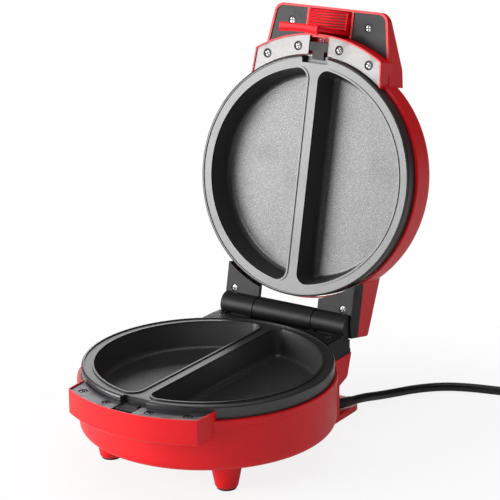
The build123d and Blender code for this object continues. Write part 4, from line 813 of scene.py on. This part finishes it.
@dataclass
class CrossScrews:
    """A set of cross-slot screws of one size.

    Attributes:
        name: The piece.
        stands_for: The solid that it replaces.
        slot: The finish's slot. Not used: every set gets its own zinc.
        body: The body that carries it.
        spots: Its screws on the right side, in mm on the shut object. Each has a twin across X.
        seat: Height of the heads' seat there.
        upwards: 1 where the heads look up there, -1 where they look down.
        shank_l: Shank length, in mm.
        seed: Picks how each screw is turned.
        head_r: Head radius, in mm.
        head_h: Head height, in mm.
        shank_r: Shank radius, in mm.
        sides: Sides of the round head. Its shank has half as many.
        ball: Radius of the ball that rounds the head, as a share of the head's.
        arm: Length and width of the slot's arms, as shares of the head's radius.
        arm_lift: Height of the arms' middle, as a share of the head's.
        point: Top and bottom radius of the slot's middle, as shares of the head's radius.
        point_lift: Height of its middle and its depth, as shares of the head's height.
    """

    name: str
    stands_for: str
    slot: str
    body: Body
    spots: Spots
    seat: float
    upwards: float
    shank_l: float
    seed: int
    head_r: float = 2.6
    head_h: float = 0.9
    shank_r: float = 1.2
    sides: int = 40
    ball: float = 1.08
    arm: tuple[float, float] = (1.52, 0.42)
    arm_lift: float = 0.76
    point: tuple[float, float] = (0.30, 0.12)
    point_lift: tuple[float, float] = (0.22, 0.85)

    def finish(self) -> ScrewSteel:
        """The zinc of this set, with painted shade in its slots."""
        return ScrewSteel(
            f"{self.name}_zinc", ZINC, ZINC_TARNISH, (0.26, 0.40), wells=self.spots, lid=self.body is Body.LID,
            seat=self.seat, upwards=self.upwards, head_r=self.head_r, head_h=self.head_h,
        )

    def tree(self, material: bpy.types.Material) -> bpy.types.NodeTree:
        """The nodes that cut one head and put it on every place.

        Args:
            material: The screws' finish.

        Returns:
            The node group.
        """
        nodes = node_group(
            "cross_screws", Head_Radius="Float", Head_Height="Float", Shank_Radius="Float", Shank_Length="Float",
            Facing="Vector", Seed="Int",
        )
        few = self.sides // 2
        given = nodes.node("NodeGroupInput").outputs
        head_r, head_h = Amount(nodes, given["Head Radius"]), Amount(nodes, given["Head Height"])
        shank_r, shank_l = Amount(nodes, given["Shank Radius"]), Amount(nodes, given["Shank Length"])

        def spot(x: Any, y: Any, z: Any) -> bpy.types.NodeSocket:
            """A vector from three amounts."""
            return nodes.node("ShaderNodeCombineXYZ", {0: x, 1: y, 2: z}).outputs[0]

        def moved(shape: Any, up: Any, size: Any = (1.0, 1.0, 1.0), turn: float = 0.0) -> bpy.types.NodeSocket:
            """A shape that is lifted, sized and turned about Z."""
            feeds = {"Geometry": shape, "Translation": spot(0.0, 0.0, up), "Rotation": (0.0, 0.0, turn), "Scale": size}
            return nodes.node("GeometryNodeTransform", feeds).outputs[0]

        def joined(operation: str, *shapes: Any) -> bpy.types.NodeSocket:
            """Boolean of some shapes.

            Args:
                operation: INTERSECT, or DIFFERENCE to cut the others from the first.
                *shapes: The shapes.

            Returns:
                What is left.
            """
            made = nodes.node("GeometryNodeMeshBoolean", operation=operation, solver="EXACT")
            for number, shape in enumerate(shapes):
                whole = operation == "DIFFERENCE" and number == 0
                nodes.link(shape, made.inputs["Mesh 1" if whole else "Mesh 2"])
            return made.outputs[0]

        ball_r = head_r * self.ball
        disc = nodes.node("GeometryNodeMeshCylinder", {"Vertices": self.sides, "Radius": head_r, "Depth": head_h})
        ball = nodes.node("GeometryNodeMeshUVSphere", {"Segments": self.sides, "Rings": few, "Radius": ball_r})
        dome = moved(ball.outputs[0], 0.0, spot(1.0, 1.0, head_h / ball_r))
        head = joined("INTERSECT", moved(disc.outputs[0], head_h * 0.5), dome)
        long, wide = self.arm
        arm = nodes.node("GeometryNodeMeshCube", {"Size": spot(head_r * long, head_r * wide, head_h)})
        lift = head_h * self.arm_lift
        top, bottom = self.point
        point_lift, point_depth = self.point_lift
        feeds = {"Radius Top": head_r * top, "Radius Bottom": head_r * bottom, "Depth": head_h * point_depth}
        point = nodes.node("GeometryNodeMeshCone", {"Vertices": few, **feeds})
        head = joined(
            "DIFFERENCE",
            head,
            moved(arm.outputs[0], lift),
            moved(arm.outputs[0], lift, turn=math.pi / 2),
            moved(point.outputs[0], head_h * point_lift),
        )
        shank = nodes.node("GeometryNodeMeshCylinder", {"Vertices": few, "Radius": shank_r, "Depth": shank_l})
        screw = nodes.node("GeometryNodeJoinGeometry")
        nodes.link(moved(shank.outputs[0], shank_l * -0.5), screw.inputs[0])
        nodes.link(head, screw.inputs[0])
        small = moved(screw.outputs[0], 0.0, (MM, MM, MM))
        aimed = nodes.node("FunctionNodeAlignRotationToVector", {"Vector": given["Facing"]}, axis="Z")
        turn = nodes.node("FunctionNodeRandomValue", {"Seed": given["Seed"]}, data_type="FLOAT")
        nodes.link(math.pi, turn.inputs[3])
        spin = nodes.node("FunctionNodeAxisAngleToRotation", {"Axis": (0.0, 0.0, 1.0), "Angle": turn.outputs[1]})
        feeds = {"Rotation": aimed.outputs[0], "Rotate By": spin.outputs[0]}
        both = nodes.node("FunctionNodeRotateRotation", feeds, rotation_space="LOCAL")
        return on_every_point(nodes, material, Points=given["Geometry"], Instance=small, Rotation=both.outputs[0])

    def build(self) -> bpy.types.Object:
        """Makes the set, in its finish, in place of its solid.

        Returns:
            The piece.
        """
        facing = (0.0, 0.0, self.upwards)
        places = [(sign * x, y, self.seat) for x, y in self.spots for sign in (1, -1)]
        if self.body is Body.LID:
            facing = HINGE.facing(facing)
            places = [HINGE.place(*place) for place in places]
        else:
            places = [tuple(part * MM for part in place) for place in places]
        piece = scattered(
            self.name, places, self.tree(self.finish().make()), Head_Radius=self.head_r, Head_Height=self.head_h,
            Shank_Radius=self.shank_r, Shank_Length=self.shank_l, Facing=facing, Seed=self.seed,
        )
        plain_mesh(piece, self.body)
        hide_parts(self.stands_for)
        return piece


@dataclass
class Fasteners:
    """Every screw that a hand or an eye can reach.

    Attributes:
        lug_seat: Seat of the screws in the lower lug's cover plates, in mm.
        mirror_z: Plane that swaps the lower and upper halves.
        heel_seat: Seat in the heel's cover.
        handle_seat: Seat in the handle's covers, on the shut lid.
        arm_seat: Seat in the hinge arms, on the shut lid.
        rear_seat: Seat in the rear cover.
    """

    lug_seat: float = 62.5
    mirror_z: float = 68.5
    heel_seat: float = 2.2
    handle_seat: float = 87.1
    arm_seat: float = 69.9
    rear_seat: float = 66.0

    def build(self) -> None:
        """Makes every set of screws."""
        up, down = 1.0, -1.0
        upper_seat = self.mirror_z * 2 - self.lug_seat
        base, lid = Body.BASE, Body.LID
        bright, dark = "screw_steel", "dark_screws"
        sets = (
            CrossScrews(
                "lower_lug_screws", "base_lug_screws", bright, base, LUG_SPOTS, self.lug_seat, up, shank_l=8.5, seed=3
            ),
            CrossScrews(
                "upper_lug_screws", "lid_lug_screws", bright, lid, LUG_SPOTS, upper_seat, down, shank_l=8.5, seed=4
            ),
            CrossScrews(
                "handle_cover_screws", "handle_screws", dark, lid, HANDLE_SPOTS, self.handle_seat, down,
                shank_l=5.2, seed=5, head_h=0.8,
            ),
            CrossScrews(
                "hinge_arm_cross_screws", "hinge_arm_screws", dark, lid, ARM_SPOTS, self.arm_seat, down,
                shank_l=18.0, seed=6,
            ),
            CrossScrews(
                "rear_cover_cross_screws", "rear_cover_screws", dark, base, REAR_SPOTS, self.rear_seat, up,
                shank_l=23.7, seed=7,
            ),
            CrossScrews(
                "heel_cover_screws", "service_screws", dark, base, HEEL_SPOTS, self.heel_seat, down,
                shank_l=7.0, seed=8, head_r=2.4, head_h=1.0,
            ),
        )
        for screws in sets:
            screws.build()


@dataclass
class ThumbRibs:
    """The raised ribs on the latch's thumb block.

    Attributes:
        half: Half a rib's length, in mm.
        radius: Radius of its round top.
        first: Place of the rib next to the arm, on the shut lid.
        pitch: From rib to rib.
        count: Ribs.
        sides: Sides of a rib.
    """

    half: float = 16.1
    radius: float = 0.62
    first: float = -110.92
    pitch: float = 2.077
    count: int = 7
    sides: int = 24

    def tree(self, material: bpy.types.Material) -> bpy.types.NodeTree:
        """The nodes that lay one rib on every point.

        Args:
            material: The ribs' finish.

        Returns:
            The node group.
        """
        nodes = node_group("thumb_ribs", Half_Length="Float", Radius="Float")
        given = nodes.node("NodeGroupInput").outputs
        half, radius = Amount(nodes, given["Half Length"]), Amount(nodes, given["Radius"])
        bar = nodes.node("GeometryNodeMeshCylinder", {"Vertices": self.sides, "Radius": radius, "Depth": half * 2.0})
        feeds = {"Geometry": bar.outputs[0], "Selection": bar.outputs["Side"]}
        rounded = nodes.node("GeometryNodeSetShadeSmooth", feeds)
        feeds = {"Geometry": rounded.outputs[0], "Rotation": (0.0, math.pi / 2, 0.0)}
        laid = nodes.node("GeometryNodeTransform", feeds)
        return on_every_point(nodes, material, Points=given["Geometry"], Instance=laid.outputs[0])

    def build(self, finishes: dict[str, bpy.types.Material]) -> bpy.types.Object:
        """Makes the ribs and lets them ride on the latch.

        Args:
            finishes: The materials by slot.

        Returns:
            The piece.
        """
        lines = [self.first - self.pitch * number for number in range(self.count)]
        places = [HINGE.place(0.0, y, THUMB_FACE.height(y)) for y in lines]
        group = self.tree(finishes["latch_plastic"])
        piece = scattered("thumb_ribs", places, group, Half_Length=self.half * MM, Radius=self.radius * MM)
        plain_mesh(piece, Body.LATCH)
        return piece


# ---- mains lead


@dataclass
class MainsLead:
    """The flexible lead: out of the heel, along the table, into a coil and to its plug.

    Attributes:
        exit: Centre line at the heel's back wall, in mm.
        yaw: Degrees from straight back towards +X.
        straight: How far from the wall its first corners are.
        diameter: Over the jacket, in mm.
        length: From the wall to the plug, in metres.
        run: Corners of its route before the coil, in mm.
        joins: Where the run meets the coil.
        heading: Degrees from +X towards the back that it has there.
        ease: How far from there a corner stands, before and after the coil.
        coil_centre: Middle of the coil, in mm.
        coil_r: Radius at the middle of the cord.
        turns: Turns on each other.
        corners: Corners in a turn.
        climb: Corners that it takes to rise onto the first turn.
        tail: Length of the run after the coil.
    """

    exit: Place = (44.0, 88.2, 10.0)
    yaw: float = 25.0
    straight: tuple[float, ...] = (0.0, 22.0, 35.5)
    diameter: float = 6.6
    length: float = 0.698
    run: tuple[Place, ...] = (
        (61.5, 135.0, 6.8),
        (65.5, 152.5, 4.0),
        (75.0, 171.0, 3.3),
        (91.0, 187.0, 3.3),
        (111.0, 195.8, 3.3),
        (132.5, 200.8, 3.3),
        (152.5, 208.6, 3.3),
    )
    joins: tuple[float, float] = (173.84, 217.15)
    heading: float = 20.0
    ease: float = 6.0
    coil_centre: tuple[float, float] = (160.5, 253.8)
    coil_r: float = 39.0
    turns: int = 2
    corners: int = 14
    climb: int = 4
    tail: float = 14.0

    def route(self) -> list[Place]:
        """The corners of the whole route.

        Returns:
            The points, in metres.
        """
        x, y, z = self.exit
        turned = math.radians(self.yaw)
        points = [(x + math.sin(turned) * far, y + math.cos(turned) * far, z) for far in self.straight]
        points += self.run

        middle_x, middle_y = self.coil_centre
        join_x, join_y = self.joins
        heading = math.radians(self.heading)
        lying = self.diameter / 2

        def beside(far: float, height: float) -> Place:
            """A corner on the line that the lead has where it meets the coil."""
            return (join_x + math.cos(heading) * far, join_y + math.sin(heading) * far, height)

        points.append(beside(-self.ease, lying))
        start = math.atan2(join_y - middle_y, join_x - middle_x)
        outer = self.coil_r / math.cos(math.pi / self.corners)
        for corner in range(self.turns * self.corners):
            angle = start + (corner + 0.5) * math.tau / self.corners
            risen = min(max(corner - self.corners + self.climb / 2, 0), self.climb) / self.climb
            height = lying + self.diameter * risen
            points.append((middle_x + outer * math.cos(angle), middle_y + outer * math.sin(angle), height))
        points += [beside(far, lying + self.diameter) for far in (self.ease, self.tail)]
        return [tuple(part * MM for part in point) for point in points]

    def build(self, finishes: dict[str, bpy.types.Material]) -> bpy.types.Object:
        """Makes the lead as one smooth curve with a round section.

        Args:
            finishes: The materials by slot.

        Returns:
            The piece.
        """
        curve = bpy.data.curves.new("mains_lead", "CURVE")
        curve.dimensions = "3D"
        spline = curve.splines.new("NURBS")
        points = self.route()
        spline.points.add(len(points) - 1)
        for knot, place in zip(spline.points, points):
            knot.co = (*place, 1.0)
        spline.order_u = 3
        spline.use_endpoint_u = True
        spline.resolution_u = 16
        curve.bevel_depth = self.diameter / 2 * MM
        curve.bevel_resolution = 6
        curve.use_fill_caps = True
        curve.materials.append(finishes["cord_rubber"])
        piece = bpy.data.objects.new("mains_lead", curve)
        bpy.context.scene.collection.objects.link(piece)
        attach(piece, Body.BASE.value)
        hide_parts("power_cord", "cord_coil")
        LOG.info("mains_lead: %d route points, %.3f m", len(points), self.length)
        return piece


# ---- solids that keep their shape


def dress_solids(finishes: dict[str, bpy.types.Material]) -> None:
    """Gives every solid the finish of its slot.

    Args:
        finishes: The materials by slot.
    """
    own = {
        "lid_plate": replace(LOWER_COATING, name="upper_coating", rim_z=69.5, lid=True),
        "handle_covers": replace(DARK_PLASTIC, name="handle_cover_plastic", wells=HANDLE_SPOTS, lid=True),
        "hinge_arms": replace(BLACK_PLASTIC, name="hinge_arm_plastic", wells=ARM_SPOTS, lid=True),
        "rear_hinge_cover": replace(BLACK_PLASTIC, name="rear_cover_plastic", wells=REAR_SPOTS),
    }
    own = {node: finish.make() for node, finish in own.items()}
    for entry in frame["record"]["subparts"]:
        mesh = frame["nodes"][entry["node"]].data
        if not mesh.materials:
            mesh.materials.append(None)
        for place in range(len(mesh.materials)):
            mesh.materials[place] = own.get(entry["node"], finishes[entry["material_slot"]])
        LOG.info("%s: %s", entry["node"], entry["material_slot"])


# ---- studio


WHITE = (1.0, 1.0, 1.0, 1.0)


@dataclass(frozen=True)
class Softbox:
    """A square soft lamp.

    Attributes:
        name: The lamp.
        place: Where it hangs, in metres.
        size: Its side.
        watts: Its power.
    """

    name: str
    place: Place
    size: float
    watts: float

    def hang(self, aim: Place) -> None:
        """Hangs the lamp.

        Args:
            aim: What it looks at, in metres.
        """
        data = bpy.data.lights.new(self.name, "AREA")
        data.shape = "SQUARE"
        data.size = self.size
        data.energy = self.watts
        lamp = bpy.data.objects.new(self.name, data)
        bpy.context.scene.collection.objects.link(lamp)
        lamp.location = self.place
        lamp.rotation_euler = (Vector(aim) - Vector(self.place)).to_track_quat("-Z", "Y").to_euler()


def seen_by(tree: Tree) -> tuple[Amount, Amount]:
    """How a ray reaches a surface.

    Args:
        tree: The surface's nodes.

    Returns:
        Whether it comes straight from the camera, and whether by gloss or glass.
    """
    path = tree.node("ShaderNodeLightPath").outputs
    kinds = ("Is Camera Ray", "Is Glossy Ray", "Is Transmission Ray")
    straight, glossy, through = (Amount(tree, path[kind]) for kind in kinds)
    return straight, glossy.most(through)


@dataclass
class Studio:
    """Pale floor, soft lamps and the camera.

    Attributes:
        eye: The camera, in mm.
        yaw: Degrees that it stands to the right of the front.
        pitch: Degrees that it looks down.
        roll: Degrees that it is tipped.
        lens: Focal length, in mm.
        film: Width of the frame that it goes with.
        reach: The nearest and farthest that it sees, in metres.
        bright_side: The way to the bright side of the room.
        falloff: Where the brightness falls off, and half how far.
        room: World's light on the object, dark side and bright side.
        mirror: World's brightness in gloss, dark side and bright side.
        cloth_shown: How white the floor is near the object, seen straight and in gloss.
        clearing: Distance from the object where the floor turns white, and half how far, in metres.
        cloth: How pale the floor is.
        floor_half: Half its side, in metres.
        floor_centre: Middle of the object's place on it.
        aim: What the lamps look at.
        lamps: The lamps.
    """

    eye: Place = (745.34, -1069.14, 559.34)
    yaw: float = 33.543
    pitch: float = 17.508
    roll: float = -0.564
    lens: float = 141.0
    film: float = 36.0
    reach: tuple[float, float] = (0.05, 20.0)
    bright_side: Place = (-0.76, -0.65, 0.05)
    falloff: tuple[float, float] = (0.72, 0.26)
    room: tuple[float, float] = (0.40, 0.80)
    mirror: tuple[float, float] = (0.05, 1.0)
    cloth_shown: tuple[float, float] = (0.85, 0.15)
    clearing: tuple[float, float] = (0.24, 0.08)
    cloth: float = 0.86
    floor_half: float = 4.0
    floor_centre: tuple[float, float] = (0.02, 0.03)
    aim: Place = (0.0, 0.03, 0.12)
    lamps: tuple[Softbox, ...] = (
        Softbox("left_softbox", (-1.02, -1.20, 0.40), 1.1, 42.0),
        Softbox("top_softbox", (-0.10, 0.10, 1.45), 1.1, 5.0),
        Softbox("back_softbox", (-1.05, 1.25, 0.50), 0.9, 6.5),
    )

    def camera(self) -> None:
        """Makes the camera."""
        data = bpy.data.cameras.new("studio_camera")
        data.lens = self.lens
        data.sensor_width = self.film
        data.clip_start, data.clip_end = self.reach
        camera = bpy.data.objects.new("studio_camera", data)
        bpy.context.scene.collection.objects.link(camera)
        turn = Euler((math.radians(90.0 - self.pitch), 0.0, math.radians(self.yaw)), "XYZ").to_matrix()
        turn = turn @ Matrix.Rotation(math.radians(self.roll), 3, "Z")
        camera.matrix_world = Matrix.Translation(Vector(self.eye) * MM) @ turn.to_4x4()
        bpy.context.scene.camera = camera

    def backdrop(self) -> None:
        """Makes the white surroundings, bright towards the lamps' side of the room."""
        world = bpy.data.worlds.new("studio")
        world.use_nodes = True
        bpy.context.scene.world = world
        tree = Tree(world.node_tree)
        way = tree.node("ShaderNodeTexCoord").outputs["Generated"]
        facing = tree.node("ShaderNodeVectorMath", {0: way, 1: self.bright_side}, operation="DOT_PRODUCT")
        towards = Amount(tree, facing.outputs["Value"]).above(*self.falloff)
        straight, mirrored = seen_by(tree)
        diffuse = towards * (self.room[1] - self.room[0]) + self.room[0]
        glossy = towards * (self.mirror[1] - self.mirror[0]) + self.mirror[0]
        level = diffuse + (glossy - diffuse) * mirrored
        light = tree.node("ShaderNodeBackground", {"Color": WHITE, "Strength": level})
        white = tree.node("ShaderNodeBackground", {"Color": WHITE, "Strength": 1.0})
        mixed = tree.node("ShaderNodeMixShader", {0: straight, 1: light.outputs[0], 2: white.outputs[0]})
        tree.node("ShaderNodeOutputWorld", {"Surface": mixed.outputs[0]})

    def floor(self) -> None:
        """Lays the pale floor, which takes the object's shadow."""
        mesh = bpy.data.meshes.new("floor")
        side = self.floor_half
        mesh.from_pydata([(-side, -side, 0), (side, -side, 0), (side, side, 0), (-side, side, 0)], [], [(0, 1, 2, 3)])
        floor = bpy.data.objects.new("floor", mesh)
        bpy.context.scene.collection.objects.link(floor)
        shade = Shade("pale_floor")
        cloth = shade.node("ShaderNodeBsdfDiffuse", {"Color": (self.cloth, self.cloth, self.cloth, 1.0)})
        white = shade.node("ShaderNodeEmission", {"Color": WHITE, "Strength": 1.0})
        straight, mirrored = seen_by(shade)
        along, back = self.floor_centre
        away = ((shade.axis("X") - along) ** 2 + (shade.axis("Y") - back) ** 2) ** 0.5
        near, gloss = self.cloth_shown
        share = straight * (away.above(*self.clearing) * (1.0 - near) + near) + mirrored * gloss
        mixed = shade.node("ShaderNodeMixShader", {0: share, 1: cloth.outputs[0], 2: white.outputs[0]})
        shade.node("ShaderNodeOutputMaterial", {"Surface": mixed.outputs[0]})
        mesh.materials.append(shade.material)

    def build(self) -> None:
        """Sets the whole studio up."""
        bpy.context.scene.view_settings.view_transform = "Standard"
        self.camera()
        self.backdrop()
        self.floor()
        for lamp in self.lamps:
            lamp.hang(self.aim)


def main() -> None:
    """Builds the pieces in order."""
    logging.basicConfig(level=logging.INFO, format="%(name)s: %(message)s")
    finishes = finish_table()
    dress_solids(finishes)
    Fasteners().build()
    ThumbRibs().build(finishes)
    MainsLead().build(finishes)
    Studio().build()
    bpy.context.view_layer.update()


if __name__ == "__main__":
    main()
